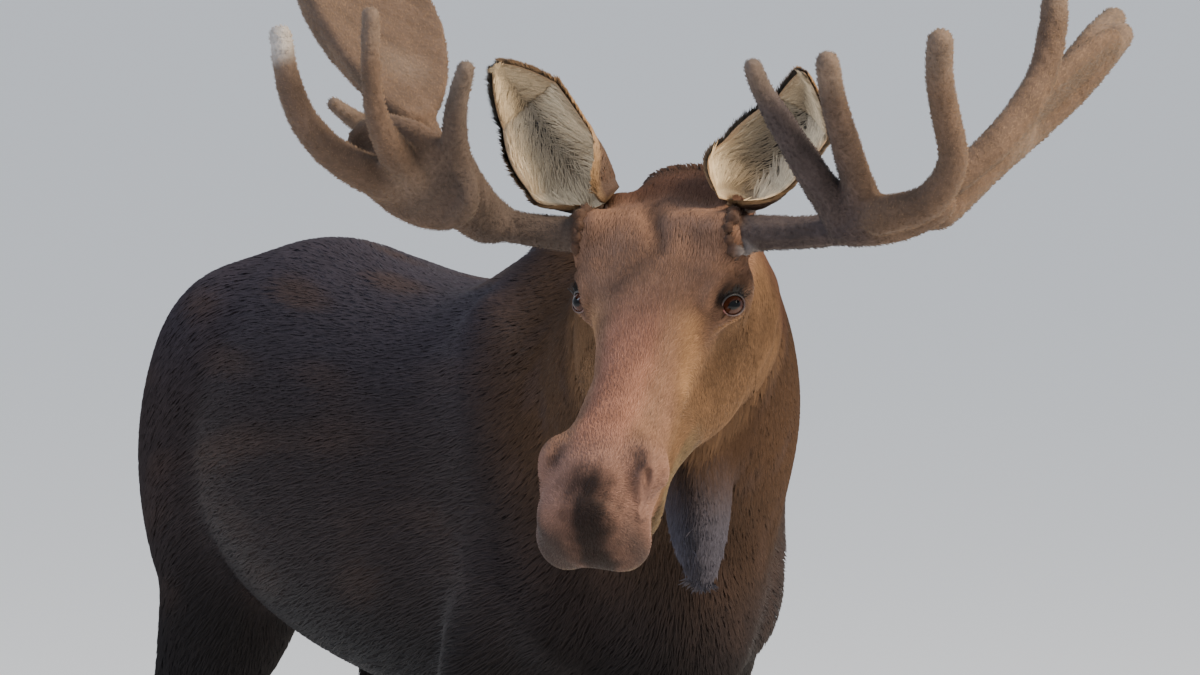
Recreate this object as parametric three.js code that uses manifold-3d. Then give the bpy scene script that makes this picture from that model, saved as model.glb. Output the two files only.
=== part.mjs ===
// A bull moose in summer velvet, standing with its head turned, as a still life-size model.
// Lengths are in millimetres. The body frame has +X to the animal's left, -Y ahead and +Z up.
import * as THREE from "three";
import { mergeVertices } from "three/addons/utils/BufferGeometryUtils.js";
import Module from "manifold-3d";

// ---- Driving dimensions ----
const EYES = new THREE.Vector3(-270, -725, 1800); // the point midway between the eyes
const HEAD_YAW = -47; // degrees, the head turned to the animal's right
const HEAD_PITCH = 46; // degrees, the muzzle down
const HEAD_ROLL = -1; // degrees
const NECK_BASE = new THREE.Vector3(0, -60, 1490);
const NECK_END = new THREE.Vector3(-150, -590, 1790);
const NECK_CUT = -130; // along the neck, where it is parted from the trunk
const FORE_CUT = 950; // height where the fore legs are parted from the trunk
const HIND_CUT = 1060; // height where the hind legs are parted from the trunk
const LEG_ROOT = 70; // how far the legs reach up inside the trunk's stubs before they are trimmed
const FORE_STEP = { left: 30, right: -50 }; // how far each foot stands behind its even place
const HIND_STEP = { left: -30, right: 60 };
const EYEBALL = { radius: 20, out: 126, back: 0, up: -7 };
const GAP = 0.4; // between touching pieces
const ANTLER_GAP = 1.8; // between the pieces of an antler
const HOOF = { length: 136, width: 52, height: 70, cleft: 3, ahead: 36, lean: 0.36, point: 0.42 };
const SIDES = { left: 1, right: -1 };

const COLOURS = {
  coat: new THREE.MeshStandardMaterial({ color: 0x33261f, roughness: 0.8 }),
  face: new THREE.MeshStandardMaterial({ color: 0x7a563f, roughness: 0.75 }),
  velvet: new THREE.MeshStandardMaterial({ color: 0x79573c, roughness: 0.9 }),
  ear: new THREE.MeshStandardMaterial({ color: 0x8f7a66, roughness: 0.85 }),
  eye: new THREE.MeshStandardMaterial({ color: 0x120b08, roughness: 0.05 }),
  hoof: new THREE.MeshStandardMaterial({ color: 0x1f1b18, roughness: 0.5 }),
};

// ---- Frames ----
function frame(origin, x, y, z) {
  return new THREE.Matrix4().makeBasis(x, y, z).setPosition(origin);
}

function headFrame() {
  const degrees = THREE.MathUtils.degToRad;
  const turn = new THREE.Matrix4().makeRotationZ(degrees(HEAD_YAW));
  turn.multiply(new THREE.Matrix4().makeRotationX(degrees(HEAD_PITCH)));
  turn.multiply(new THREE.Matrix4().makeRotationY(degrees(HEAD_ROLL)));
  return turn.setPosition(EYES);
}

function neckFrame() {
  const back = NECK_BASE.clone().sub(NECK_END).normalize();
  const left = back.clone().cross(new THREE.Vector3(0, 0, 1)).normalize();
  return frame(NECK_BASE, left, back, left.clone().cross(back));
}

const BODY = new THREE.Matrix4();
const HEAD = headFrame();
const X_OF_HEAD = new THREE.Vector3().setFromMatrixColumn(HEAD, 0);
const NECK = neckFrame();

// ---- Shapes of flesh: functions that are negative inside and near a distance in value ----

// Values at x between rows of [x, ...values], by cubic Hermite curves with gradients of second order.
function along(rows, x) {
  const last = rows.length - 1;
  const clamped = Math.min(Math.max(x, rows[0][0]), rows[last][0]);
  let i = 0;
  while (i < last - 1 && rows[i + 1][0] < clamped) i += 1;
  const h = rows[i + 1][0] - rows[i][0];
  const t = (clamped - rows[i][0]) / h;
  const slope = (j, k) => {
    if (j === 0) return (rows[1][k] - rows[0][k]) / (rows[1][0] - rows[0][0]);
    if (j === last) return (rows[last][k] - rows[last - 1][k]) / (rows[last][0] - rows[last - 1][0]);
    const before = rows[j][0] - rows[j - 1][0];
    const after = rows[j + 1][0] - rows[j][0];
    const rise = before * before * rows[j + 1][k] - after * after * rows[j - 1][k];
    return (rise + (after * after - before * before) * rows[j][k]) / (before * after * (before + after));
  };
  const values = [];
  for (let k = 1; k < rows[0].length; k += 1) {
    const start = (2 * t ** 3 - 3 * t ** 2 + 1) * rows[i][k] + (t ** 3 - 2 * t ** 2 + t) * h * slope(i, k);
    const end = (3 * t ** 2 - 2 * t ** 3) * rows[i + 1][k] + (t ** 3 - t ** 2) * h * slope(i + 1, k);
    values.push(start + end);
  }
  return values;
}

// A body carried along y: rows of [y, half width, top, bottom, widest height, sideways shift].
function loft(rows, frontCap, backCap, topPower = 2, bottomPower = 2) {
  const table = rows.map((row) => (row.length < 6 ? [...row, 0] : row)).sort((a, b) => a[0] - b[0]);
  const front = table[0][0];
  const back = table[table.length - 1][0];
  return (p) => {
    const [width, top, bottom, widest, shift] = along(table, p.y);
    const cap = p.y < front ? frontCap : backCap;
    const over = p.y < front ? (front - p.y) / cap : Math.max(0, (p.y - back) / cap);
    const height = p.z > widest ? top - widest : widest - bottom;
    const power = p.z > widest ? topPower : bottomPower;
    const x = Math.abs(p.x - shift) / width;
    const z = Math.abs(p.z - widest) / height;
    const k = Math.hypot((x ** power + z ** power + 1e-12) ** (1 / power), over);
    const slope = Math.hypot(x / width, z / height, over / cap) / Math.max(k, 1e-6);
    return (k - 1) / Math.max(slope, 0.5 / Math.max(width, height));
  };
}

// A smooth path through rows of [x, y, z, radius], as even points along it.
function path(rows) {
  let length = 0;
  const table = rows.map((row, i) => {
    if (i) length += Math.hypot(row[0] - rows[i - 1][0], row[1] - rows[i - 1][1], row[2] - rows[i - 1][2]);
    return [length, ...row];
  });
  return (t) => along(table, t * length);
}

// A limb of round section along a path, rounded at both ends, thinned along `flat` by `squash`.
function limb(rows, flat = null, squash = 1) {
  const at = path(rows);
  const count = rows.length * 3;
  const points = Array.from({ length: count + 1 }, (_, i) => at(i / count));
  const thin = flat ? new THREE.Vector3(...flat).normalize() : null;
  return (p) => {
    let best = Infinity;
    for (let i = 0; i < count; i += 1) {
      const [ax, ay, az, ar] = points[i];
      const [bx, by, bz, br] = points[i + 1];
      const d = [bx - ax, by - ay, bz - az];
      const q = [p.x - ax, p.y - ay, p.z - az];
      const along2 = d[0] * d[0] + d[1] * d[1] + d[2] * d[2];
      const t = Math.min(Math.max((q[0] * d[0] + q[1] * d[1] + q[2] * d[2]) / along2, 0), 1);
      let [x, y, z] = [q[0] - t * d[0], q[1] - t * d[1], q[2] - t * d[2]];
      if (thin) {
        const stretch = (1 / squash - 1) * (x * thin.x + y * thin.y + z * thin.z);
        [x, y, z] = [x + stretch * thin.x, y + stretch * thin.y, z + stretch * thin.z];
      }
      best = Math.min(best, Math.hypot(x, y, z) - (ar + t * (br - ar)));
    }
    return thin ? best * Math.sqrt(squash) : best;
  };
}

// An ellipsoid with radii `r`, tilted about x by `tilt` degrees.
function ball(centre, r, tilt = 0) {
  const a = THREE.MathUtils.degToRad(tilt);
  const [cos, sin] = [Math.cos(a), Math.sin(a)];
  return (p) => {
    const [dy, dz] = [p.y - centre[1], p.z - centre[2]];
    const q = [p.x - centre[0], dy * cos + dz * sin, dz * cos - dy * sin];
    const k0 = Math.hypot(q[0] / r[0], q[1] / r[1], q[2] / r[2]) + 1e-9;
    const k1 = Math.hypot(q[0] / r[0] ** 2, q[1] / r[1] ** 2, q[2] / r[2] ** 2) + 1e-9;
    return (k0 * (k0 - 1)) / k1;
  };
}

const masses = [];

// Adds a mass of flesh: `blend` is how far it melts into the ones before it.
function mass(kind, value, blend, place = BODY) {
  masses.push({ kind, value, blend, inverse: place.clone().invert() });
}

function both(kind, make, blend, place = BODY) {
  for (const side of Object.values(SIDES)) mass(kind, make(side), blend, place);
}

// ---- Trunk: deep narrow chest, high withers, drooping rump ----
mass("trunk", loft([
  [-300, 125, 1600, 1130, 1330], [-180, 178, 1770, 1040, 1330], [-30, 235, 1862, 985, 1330],
  [150, 285, 1815, 972, 1330], [330, 328, 1756, 980, 1330], [520, 352, 1742, 1000, 1330],
  [720, 356, 1746, 1030, 1330], [920, 332, 1764, 1078, 1350], [1080, 290, 1776, 1140, 1390],
  [1230, 236, 1736, 1195, 1410], [1330, 186, 1650, 1235, 1410],
], 120, 90, 2, 2.1), 60);
mass("trunk", loft([
  [-250, 60, 1750, 1500, 1600], [-110, 78, 1868, 1500, 1600], [-10, 82, 1902, 1500, 1600],
  [80, 76, 1872, 1500, 1600], [180, 60, 1794, 1500, 1600],
], 90, 110), 80);
both("trunk", (side) => ball([side * 172, -20, 1420], [82, 180, 320], -16), 80);
both("trunk", (side) => ball([side * 150, -180, 1260], [84, 95, 125]), 80);
mass("trunk", ball([0, -235, 1200], [125, 135, 185]), 90);
both("trunk", (side) => ball([side * 146, 1205, 1445], [145, 205, 262]), 90);
both("trunk", (side) => ball([side * 178, 1190, 1290], [112, 215, 250], 14), 80);

// ---- Neck: short, deep and maned ----
mass("neck", loft([
  [-640, 150, 112, -185, 0, 4], [-540, 178, 156, -225, 0, 12], [-420, 202, 196, -262, -10, 26],
  [-280, 218, 236, -295, -20, 42], [-120, 228, 300, -330, -20, 40], [0, 232, 350, -360, -20, 20],
], 80, 100), 90, NECK);

// ---- Legs: rows of [x, y, z, radius] from inside the trunk down to the pastern ----
function foreRows(side) {
  const step = FORE_STEP[side];
  const rows = [
    [178, -60, 1260, 105, 0], [196, 10, 1130, 100, 0], [202, 45, 1040, 84, 0], [199, 35, 930, 66, 0.3],
    [194, 15, 800, 53, 0.4], [190, 0, 685, 48, 0.6], [187, -10, 615, 55, 0.7], [186, -8, 560, 51, 0.7],
    [183, 0, 495, 40, 0.8], [180, 8, 380, 35, 0.9], [178, 8, 250, 36, 1], [178, 2, 185, 45, 1],
    [178, -20, 135, 38, 1], [178, -42, 88, 42, 1],
  ];
  return rows.map(([x, y, z, r, share]) => [SIDES[side] * x, y + step * share, z, r]);
}

function hindRows(side) {
  const step = HIND_STEP[side];
  const rows = [
    [178, 1110, 1280, 165, 0], [192, 1085, 1160, 140, 0], [200, 1130, 1050, 118, 0],
    [200, 1200, 960, 88, 0.3], [197, 1272, 860, 66, 0.5], [193, 1322, 775, 56, 0.7],
    [190, 1335, 715, 53, 0.8], [188, 1330, 620, 43, 0.8], [186, 1312, 440, 38, 0.9],
    [184, 1294, 260, 38, 1], [184, 1287, 192, 46, 1], [184, 1262, 138, 39, 1], [184, 1238, 90, 43, 1],
  ];
  return rows.map(([x, y, z, r, share]) => [SIDES[side] * x, y + step * share, z, r]);
}

function heelRows(side) {
  const back = HIND_STEP[side] * 0.7;
  const x = SIDES[side] * 191;
  return [[x, 1345 + back, 830, 24], [x, 1378 + back, 790, 28], [x, 1378 + back, 748, 26]];
}

for (const side of Object.keys(SIDES)) {
  mass("leg", limb(foreRows(side)), 50);
  mass("leg", ball([SIDES[side] * 208, 105, 1070], [46, 58, 60]), 40);
  mass("leg", limb(hindRows(side)), 60);
  mass("leg", limb(heelRows(side)), 26);
}

// ---- Head, in its own frame: x left, y back, z up off the face ----
mass("head", loft([
  [240, 96, 34, -130, -30], [175, 106, 60, -160, -20], [110, 110, 80, -160, -5], [50, 110, 88, -160, 0],
  [-10, 106, 80, -152, 0], [-80, 90, 66, -138, -5], [-170, 75, 56, -118, -15], [-250, 76, 58, -112, -20],
  [-320, 85, 61, -114, -25, -4], [-380, 82, 55, -118, -35, -14], [-425, 79, 34, -124, -50, -26],
], 58, 60, 2.4, 2.2), 40, HEAD);
mass("head", loft([
  [130, 92, -60, -258, -150], [40, 108, -60, -282, -165], [-60, 103, -60, -264, -158],
  [-160, 70, -60, -206, -135], [-250, 53, -60, -172, -125], [-320, 50, -70, -168, -130],
  [-355, 42, -85, -164, -130],
], 32, 70, 2.2, 2.2), 26, HEAD);
both("head", (side) => ball([side * 108, 8, 0], [31, 46, 38]), 30, HEAD);
both("head", (side) => ball([side * 98, 18, 38], [34, 52, 26]), 30, HEAD);
both("head", (side) => ball([side * 84, 95, -100], [48, 95, 95]), 40, HEAD);
both("head", (side) => limb([[side * 112, 52, 22, 26], [side * 116, 58, -14, 28], [side * 108, 40, -60, 26]]), 24, HEAD);
both("head", (side) => limb([[side * 66, 95, 38, 46], [side * 112, 90, 56, 42]]), 34, HEAD);
both("head", (side) => ball([side * 76 - 5, -342, 4], [30, 42, 44]), 26, HEAD);
both("head", (side) => ball([side * 49 - 30, -412, -94], [46, 42, 54], -30), 30, HEAD);
mass("head", ball([-6, -335, -142], [46, 40, 34]), 26, HEAD);
both("head", (side) => limb([[side * 88, 160, 28, 42], [side * 122, 188, 58, 27]]), 34, HEAD);

// ---- Bell and tail ----
const BELL_ROOT = new THREE.Vector3(0, 60, -205).applyMatrix4(HEAD);
const BELL_DROP = [
  [0, 30, 30, 84], [-4, 5, -90, 76], [-6, -10, -190, 72], [-8, -20, -280, 60], [-8, -28, -335, 38],
];
const BELL = BELL_DROP.map(([x, y, z, r]) => [BELL_ROOT.x + x, BELL_ROOT.y + y, BELL_ROOT.z + z, r]);
const BELL_SIDE = X_OF_HEAD.toArray();
const BELL_SQUASH = 0.73;
mass("bell", limb(BELL, BELL_SIDE, BELL_SQUASH), 50);
const TAIL = [[0, 1370, 1600, 42], [0, 1420, 1545, 37], [0, 1440, 1475, 28]];
mass("tail", limb(TAIL), 30);

function smoothMin(a, b, k) {
  const h = Math.min(Math.max(0.5 + (0.5 * (b - a)) / k, 0), 1);
  return b + (a - b) * h - k * h * (1 - h);
}

// The flesh of the kinds given, melted together. `sink` draws the head masses in by that much.
function flesh(kinds, sink = 0) {
  const chosen = masses.filter((m) => kinds.includes(m.kind));
  const q = new THREE.Vector3();
  return (p) => {
    let value = 1000;
    for (const m of chosen) {
      const near = m.value(q.copy(p).applyMatrix4(m.inverse)) + (m.kind === "head" ? sink : 0);
      value = smoothMin(value, near, m.blend);
    }
    return value;
  };
}

// ---- Solids ----
const wasm = await Module();
wasm.setup();

function toSolid(geometry) {
  const bare = geometry.clone();
  bare.deleteAttribute("normal");
  bare.deleteAttribute("uv");
  const merged = mergeVertices(bare, 1e-4);
  const triVerts = new Uint32Array(merged.index.array);
  const mesh = new wasm.Mesh({ numProp: 3, vertProperties: merged.attributes.position.array, triVerts });
  const solid = new wasm.Manifold(mesh);
  if (solid.volume() > 0) return solid;
  for (let i = 0; i < triVerts.length; i += 3) {
    [triVerts[i], triVerts[i + 1]] = [triVerts[i + 1], triVerts[i]];
  }
  const turned = { numProp: 3, vertProperties: merged.attributes.position.array, triVerts };
  return new wasm.Manifold(new wasm.Mesh(turned));
}

function toGeometry(solid) {
  const mesh = solid.getMesh();
  const positions = new Float32Array(mesh.numVert * 3);
  for (let i = 0; i < mesh.numVert; i += 1) {
    positions.set(mesh.vertProperties.subarray(i * mesh.numProp, i * mesh.numProp + 3), i * 3);
  }
  const geometry = new THREE.BufferGeometry();
  geometry.setAttribute("position", new THREE.BufferAttribute(positions, 3));
  return geometry.setIndex(new THREE.BufferAttribute(mesh.triVerts, 1));
}

// The largest body of a solid, without the crumbs that a cut can leave and with any sealed hollow filled.
function largest(solid) {
  const bodies = toSolid(toGeometry(solid)).decompose();
  return bodies.reduce((a, b) => (b.volume() > a.volume() ? b : a));
}

// A closed skin: the rows and columns of a sphere, each vertex placed by place(column, row).
function closedSkin(sides, rows, place) {
  const geometry = new THREE.SphereGeometry(1, sides, rows);
  const position = geometry.getAttribute("position");
  for (let row = 0; row <= rows; row += 1) {
    for (let column = 0; column <= sides; column += 1) {
      const point = place(column % sides, row);
      position.setXYZ(row * (sides + 1) + column, point.x, point.y, point.z);
    }
  }
  return toSolid(geometry);
}

const STEP = 8; // how far apart a ray feels for the surface
const HALVINGS = 14;

// Where a ray from inside first leaves the flesh, or its reach if it doesn't.
function surface(field, origin, direction, reach) {
  const p = new THREE.Vector3();
  const at = (d) => field(p.copy(origin).addScaledVector(direction, d));
  let inside = 0;
  let outside = STEP;
  while (outside < reach && at(outside) < 0) {
    inside = outside;
    outside += STEP;
  }
  if (outside >= reach && at(reach) < 0) return reach;
  for (let i = 0; i < HALVINGS; i += 1) {
    const middle = (inside + outside) / 2;
    if (at(middle) < 0) inside = middle;
    else outside = middle;
  }
  return inside;
}

// Flesh wrapped round a spine: rings square to it, and ends that fan out to a pole or are cut flat.
// spine(t) gives {origin, across, up, reach}; `domes` says how many fanned rings close each end.
function wrap({ field, spine, sides, rings, domes, swell = 0 }) {
  const [startDome, endDome] = domes;
  const rows = startDome + rings - 1 + endDome;
  const point = (column, row) => {
    const ring = Math.min(Math.max(row - startDome, 0), rings - 1);
    const { origin, across, up, reach } = spine(ring / (rings - 1));
    const angle = (2 * Math.PI * column) / sides;
    const direction = across.clone().multiplyScalar(Math.sin(angle)).addScaledVector(up, Math.cos(angle));
    const axis = across.clone().cross(up).normalize();
    const startLift = startDome ? Math.max(0, 1 - row / startDome) : 0;
    const endLift = endDome ? Math.max(0, (row - startDome - rings + 1) / endDome) : 0;
    const lift = ((startLift - endLift) * Math.PI) / 2;
    const domed = startLift > 0 || endLift > 0;
    const atFlatEnd = (row === 0 && startDome === 1) || (row === rows && endDome === 1);
    if (atFlatEnd) return origin.clone();
    if (domed) direction.multiplyScalar(Math.cos(lift)).addScaledVector(axis, Math.sin(lift));
    const distance = surface(field, origin, direction, reach) + swell;
    return origin.clone().addScaledVector(direction, distance);
  };
  return closedSkin(sides, rows, point);
}

const X = new THREE.Vector3(1, 0, 0);
const Y = new THREE.Vector3(0, 1, 0);
const Z = new THREE.Vector3(0, 0, 1);

// A straight spine in a frame: rows of [y, height] along its y axis.
function frameSpine(place, rows, reach) {
  const turn = new THREE.Matrix3().setFromMatrix4(place);
  const across = X.clone().applyMatrix3(turn);
  const up = Z.clone().applyMatrix3(turn);
  const [start, end] = [rows[0][0], rows[rows.length - 1][0]];
  return (t) => {
    const y = start + (end - start) * t;
    const [height] = along(rows, y);
    return { origin: new THREE.Vector3(0, y, height).applyMatrix4(place), across, up, reach };
  };
}

function box(min, max) {
  const size = new THREE.Vector3().subVectors(max, min);
  const middle = new THREE.Vector3().addVectors(min, max).multiplyScalar(0.5);
  return new THREE.BoxGeometry(size.x, size.y, size.z).translate(middle.x, middle.y, middle.z);
}

// ---- Head ----
const headFlesh = flesh(["head"]);
const HEAD_SPINE = [[-415, -52], [-200, -58], [0, -72], [110, -72], [225, -50]];

function headSolid(swell = 0) {
  const spine = frameSpine(HEAD, HEAD_SPINE, 260);
  return wrap({ field: headFlesh, spine, sides: 22, rings: 18, domes: [3, 3], swell });
}

// ---- Eyes ----
function eyeGeometry(side, swell = 0) {
  const centre = new THREE.Vector3(SIDES[side] * EYEBALL.out, EYEBALL.back, EYEBALL.up).applyMatrix4(HEAD);
  const globe = new THREE.SphereGeometry(EYEBALL.radius + swell, 12, 6);
  return globe.rotateX(Math.PI / 2).translate(centre.x, centre.y, centre.z);
}

// ---- Limbs of round section as solids ----
function limbSolid(rows, { sides, rings, domes = [2, 2], place = BODY, flat = null, squash = 1, swell = 0 }) {
  const at = path(rows);
  const thin = flat ? new THREE.Vector3(...flat).normalize() : null;
  const field = limb(rows, flat, squash);
  const reach = 2 * Math.max(...rows.map((row) => row[3]));
  const spine = (t) => {
    const here = new THREE.Vector3(...at(t));
    const next = new THREE.Vector3(...at(Math.min(t + 0.02, 1)));
    const last = new THREE.Vector3(...at(Math.max(t - 0.02, 0)));
    const ahead = next.sub(last).normalize();
    const hint = Math.abs(ahead.z) > 0.8 ? Y : Z;
    const across = (thin ?? hint).clone().cross(ahead).normalize();
    return { origin: here, across, up: across.clone().cross(ahead).normalize(), reach };
  };
  const solid = wrap({ field, spine, sides, rings, domes, swell });
  return toSolid(toGeometry(solid).applyMatrix4(place));
}

// ---- Legs ----
const everything = flesh(["trunk", "neck", "leg"]);

function legSolid(rows, top, bottom) {
  const spineRows = rows.map(([x, y, z, r]) => [-z, x, y, r]);
  const spine = (t) => {
    const z = top + (bottom - top) * t;
    const [x, y, radius] = along(spineRows, -z);
    const reach = radius * 1.4 + 12;
    return { origin: new THREE.Vector3(x, y, z), across: X, up: Y, reach };
  };
  return wrap({ field: everything, spine, sides: 10, rings: 12, domes: [1, 1] });
}

// One claw of a cloven hoof: a wedge with a flat sole, an upright inner wall and a sloping toe.
function clawGeometry(x, y, outward) {
  const geometry = new THREE.CylinderGeometry(1, 1, 1, 12, 2).rotateX(Math.PI / 2);
  const position = geometry.getAttribute("position");
  for (let i = 0; i < position.count; i += 1) {
    const h = position.getZ(i) + 0.5; // 0 at the sole, 1 at the coronet
    const out = Math.round(1e6 * position.getX(i) * outward) / 1e6; // exact zeros at the seam
    const back = position.getY(i);
    const toe = 1 - HOOF.point * Math.max(0, -back) ** 2;
    const across = HOOF.width * (0.5 + 0.5 * Math.sign(out) * Math.abs(out) ** 0.7) * toe;
    const length = (HOOF.length / 2) * (1 - HOOF.lean * h);
    const middle = y - HOOF.ahead + HOOF.length * 0.25 * h;
    position.setXYZ(i, x + outward * (HOOF.cleft + across), middle + length * back, h * HOOF.height);
  }
  return geometry;
}

function dewclawRows(x, y, outward) {
  const drop = [[20, 34, 128, 15], [27, 54, 92, 12], [29, 60, 76, 6]];
  return drop.map(([out, back, z, r]) => [x + outward * out, y + back, z, r]);
}

// ---- Ears: a leaf rolled at its base and opening towards its tip ----
const EARS = {
  left: { base: [113, 175, 42], tip: [235, 300, 221], open: [-0.48, -0.76, 0.38], bow: [8, 0, 4] },
  right: { base: [-116, 171, 43], tip: [-297, 304, 228], open: [-0.09, -0.65, 0.75], bow: [-26, -1, 12] },
};
const EAR_HALF_WIDTH = 74;
const EAR_WALL = 11;

function earSolid(side, swell = 0) {
  const base = new THREE.Vector3(...EARS[side].base);
  const axis = new THREE.Vector3(...EARS[side].tip).sub(base);
  const length = axis.length();
  axis.normalize();
  const open = new THREE.Vector3(...EARS[side].open);
  open.addScaledVector(axis, -open.dot(axis)).normalize();
  const across = open.clone().cross(axis);
  const bow = new THREE.Vector3(...EARS[side].bow);
  const [sides, rows] = [16, 8];
  const place = (column, row) => {
    const u = row / rows;
    const width = EAR_HALF_WIDTH * Math.sin(Math.PI * (0.1 + 0.9 * u) ** 0.8) ** 0.75 + 1;
    const roll = THREE.MathUtils.degToRad(THREE.MathUtils.lerp(105, 38, Math.min(1, u * 1.6)));
    const lap = column < sides / 2 ? column / (sides / 2) : 2 - column / (sides / 2);
    const rim = column % (sides / 2) === 0;
    const half = rim ? 0 : Math.sin(Math.PI * lap) ** 0.5 * (EAR_WALL / 2) + swell;
    const wall = column < sides / 2 ? half : -half;
    const radius = width / Math.sin(Math.min(roll, Math.PI / 2)) + wall;
    const turn = (2 * lap - 1) * roll * (1 + swell / width);
    const ends = row === 0 || row === rows;
    const p = base.clone().addScaledVector(axis, length * u).addScaledVector(bow, Math.sin(Math.PI * u));
    if (ends) return p.applyMatrix4(HEAD);
    p.addScaledVector(across, radius * Math.sin(turn));
    p.addScaledVector(open, width * 0.5 - radius * Math.cos(turn));
    return p.applyMatrix4(HEAD);
  };
  return closedSkin(sides, rows, place);
}

// ---- Antlers, in the head's frame, for the left side with x outward ----
// A leaf of bone: half length, half width and half thickness, with its rims lifted by `cup` per metre.
function leafSolid({ centre, long, normal, length, width, thick, cup, taper }, side, swell = 0) {
  const mirror = new THREE.Vector3(SIDES[side], 1, 1);
  const middle = new THREE.Vector3(...centre).multiply(mirror);
  const n = new THREE.Vector3(...normal).multiply(mirror).normalize();
  const along1 = new THREE.Vector3(...long).multiply(mirror);
  along1.addScaledVector(n, -along1.dot(n)).normalize();
  const across = n.clone().cross(along1);
  const [sides, rows] = [10, 6];
  const place = (column, row) => {
    const polar = (Math.PI * row) / rows;
    const angle = (2 * Math.PI * column) / sides;
    const x = Math.cos(polar);
    const radius = Math.sin(polar) ** 0.85;
    const y = radius * Math.sin(angle) * (width + swell) * (1 + taper * x);
    const face = Math.cos(angle);
    const z = Math.sign(face) * Math.abs(face) ** 0.6 * Math.sin(polar) ** 0.5 * (thick + swell);
    const p = middle.clone().addScaledVector(along1, x * (length + swell));
    p.addScaledVector(across, y).addScaledVector(n, z + (cup * y * y) / 1000);
    return p.applyMatrix4(HEAD);
  };
  return closedSkin(sides, rows, place);
}

const ANTLERS = {
  left: {
    beam: [[106, 95, 52, 42], [125, 96, 54, 36], [171, 99, 56, 32], [243, 102, 56, 29], [348, 108, 68, 31]],
    browLeaf: {
      centre: [411, 94, 103], long: [0.95, 0.28, 0.11], normal: [0.17, -0.82, 0.54],
      length: 105, width: 40, thick: 24, cup: 0, taper: 0,
    },
    browTines: [
      [
        [326, 89, 96, 34], [297, 104, 180, 30], [277, 114, 253, 26],
        [255, 127, 329, 22], [241, 139, 380, 18.5], [237, 146, 410, 17],
      ],
      [
        [365, 94, 105, 34], [359, 114, 199, 28], [358, 124, 277, 25.5],
        [360, 131, 350, 23.5], [370, 137, 432, 21.5],
      ],
      [
        [395, 76, 131, 34], [476, 89, 150, 31], [525, 120, 206, 27],
        [527, 154, 294, 26], [530, 173, 363, 25], [540, 195, 417, 24],
      ],
    ],
    palmLeaf: {
      centre: [536, 389, -1], long: [0.33, 0.9, -0.27], normal: [-0.73, 0.43, 0.53],
      length: 262, width: 112, thick: 19, cup: 0.6, taper: 0.1,
    },
    palmTines: [
      [[382, 122, 64, 35], [445, 172, 46, 36], [488, 270, 15, 33], [529, 376, -15, 26]],
      [
        [506, 149, 136, 26], [552, 218, 134, 29], [582, 312, 121, 29],
        [598, 384, 123, 27], [611, 439, 161, 26], [618, 502, 222, 22],
      ],
      [
        [456, 159, 44, 30], [484, 275, 1, 28], [512, 364, -37, 27],
        [543, 451, -64, 27], [579, 537, -81, 27], [626, 643, -80, 25],
      ],
      [[578, 552, -41, 25], [593, 646, -76, 25], [600, 692, -97, 24]],
    ],
  },
  right: {
    beam: [[106, 88, 54, 42], [126, 89, 56, 36], [172, 89, 60, 31], [238, 87, 74, 30], [308, 84, 102, 32]],
    browLeaf: {
      centre: [374, 70, 231], long: [0.8, -0.04, 0.6], normal: [0.08, -0.78, 0.62],
      length: 128, width: 84, thick: 23, cup: 0, taper: 0,
    },
    browTines: [
      [[289, 84, 96, 40], [375, 72, 221, 38]],
      [[285, 86, 100, 33], [295, 82, 180, 32], [294, 83, 261, 26], [278, 101, 337, 21], [249, 139, 406, 17]],
      [[353, 73, 180, 34], [383, 59, 288, 30], [391, 61, 357, 23], [393, 100, 436, 19], [393, 169, 500, 18]],
      [
        [383, 68, 190, 36], [442, 44, 261, 34], [489, 45, 316, 30],
        [521, 64, 360, 27], [544, 100, 401, 24], [564, 167, 452, 21],
      ],
    ],
    palmLeaf: {
      centre: [563, 435, 173], long: [0.48, 0.85, -0.12], normal: [-0.49, 0.43, 0.68],
      length: 300, width: 128, thick: 18, cup: 1, taper: 0.2,
    },
    palmTines: [
      [[316, 94, 118, 35], [365, 133, 151, 42], [423, 208, 170, 38], [493, 313, 172, 24]],
      [[447, 182, 206, 22], [487, 173, 227, 20], [530, 180, 269, 15]],
      [
        [449, 222, 207, 24], [532, 292, 229, 27], [607, 372, 234, 27],
        [672, 474, 236, 27], [728, 586, 259, 22],
      ],
      [[646, 588, 179, 26], [699, 681, 176, 26], [740, 759, 182, 22]],
      [[585, 631, 105, 26], [627, 719, 99, 25], [654, 787, 100, 21]],
    ],
  },
};

function antlerTine(side, rows, swell = 0, rings = 4) {
  const placed = rows.map(([x, y, z, r]) => [SIDES[side] * x, y, z, r]);
  return limbSolid(placed, { sides: 6, rings, domes: [1, 2], place: HEAD, swell });
}

function join(solids) {
  return largest(solids.reduce((a, b) => a.add(b)));
}

function beamSolid(side, swell = 0) {
  return antlerTine(side, ANTLERS[side].beam, swell, 5);
}

function browSolid(side, swell = 0) {
  const { browLeaf, browTines } = ANTLERS[side];
  return join([leafSolid(browLeaf, side, swell), ...browTines.map((rows) => antlerTine(side, rows, swell))]);
}

function palmSolid(side) {
  const { palmLeaf, palmTines } = ANTLERS[side];
  return join([leafSolid(palmLeaf, side), ...palmTines.map((rows) => antlerTine(side, rows))]);
}

// ---- The model ----
const moose = new THREE.Group();

function node(name, shape, material) {
  const geometry = shape.isBufferGeometry ? shape : toGeometry(largest(shape));
  const mesh = new THREE.Mesh(geometry, material);
  mesh.name = name;
  moose.add(mesh);
}

// Trunk, parted from the neck by a plane and ending below in four short stubs
const LEG_BOXES = [
  { min: [60, -150, 0], max: [420, 280, FORE_CUT] },
  { min: [60, 940, 0], max: [420, 1440, HIND_CUT] },
];

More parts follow.
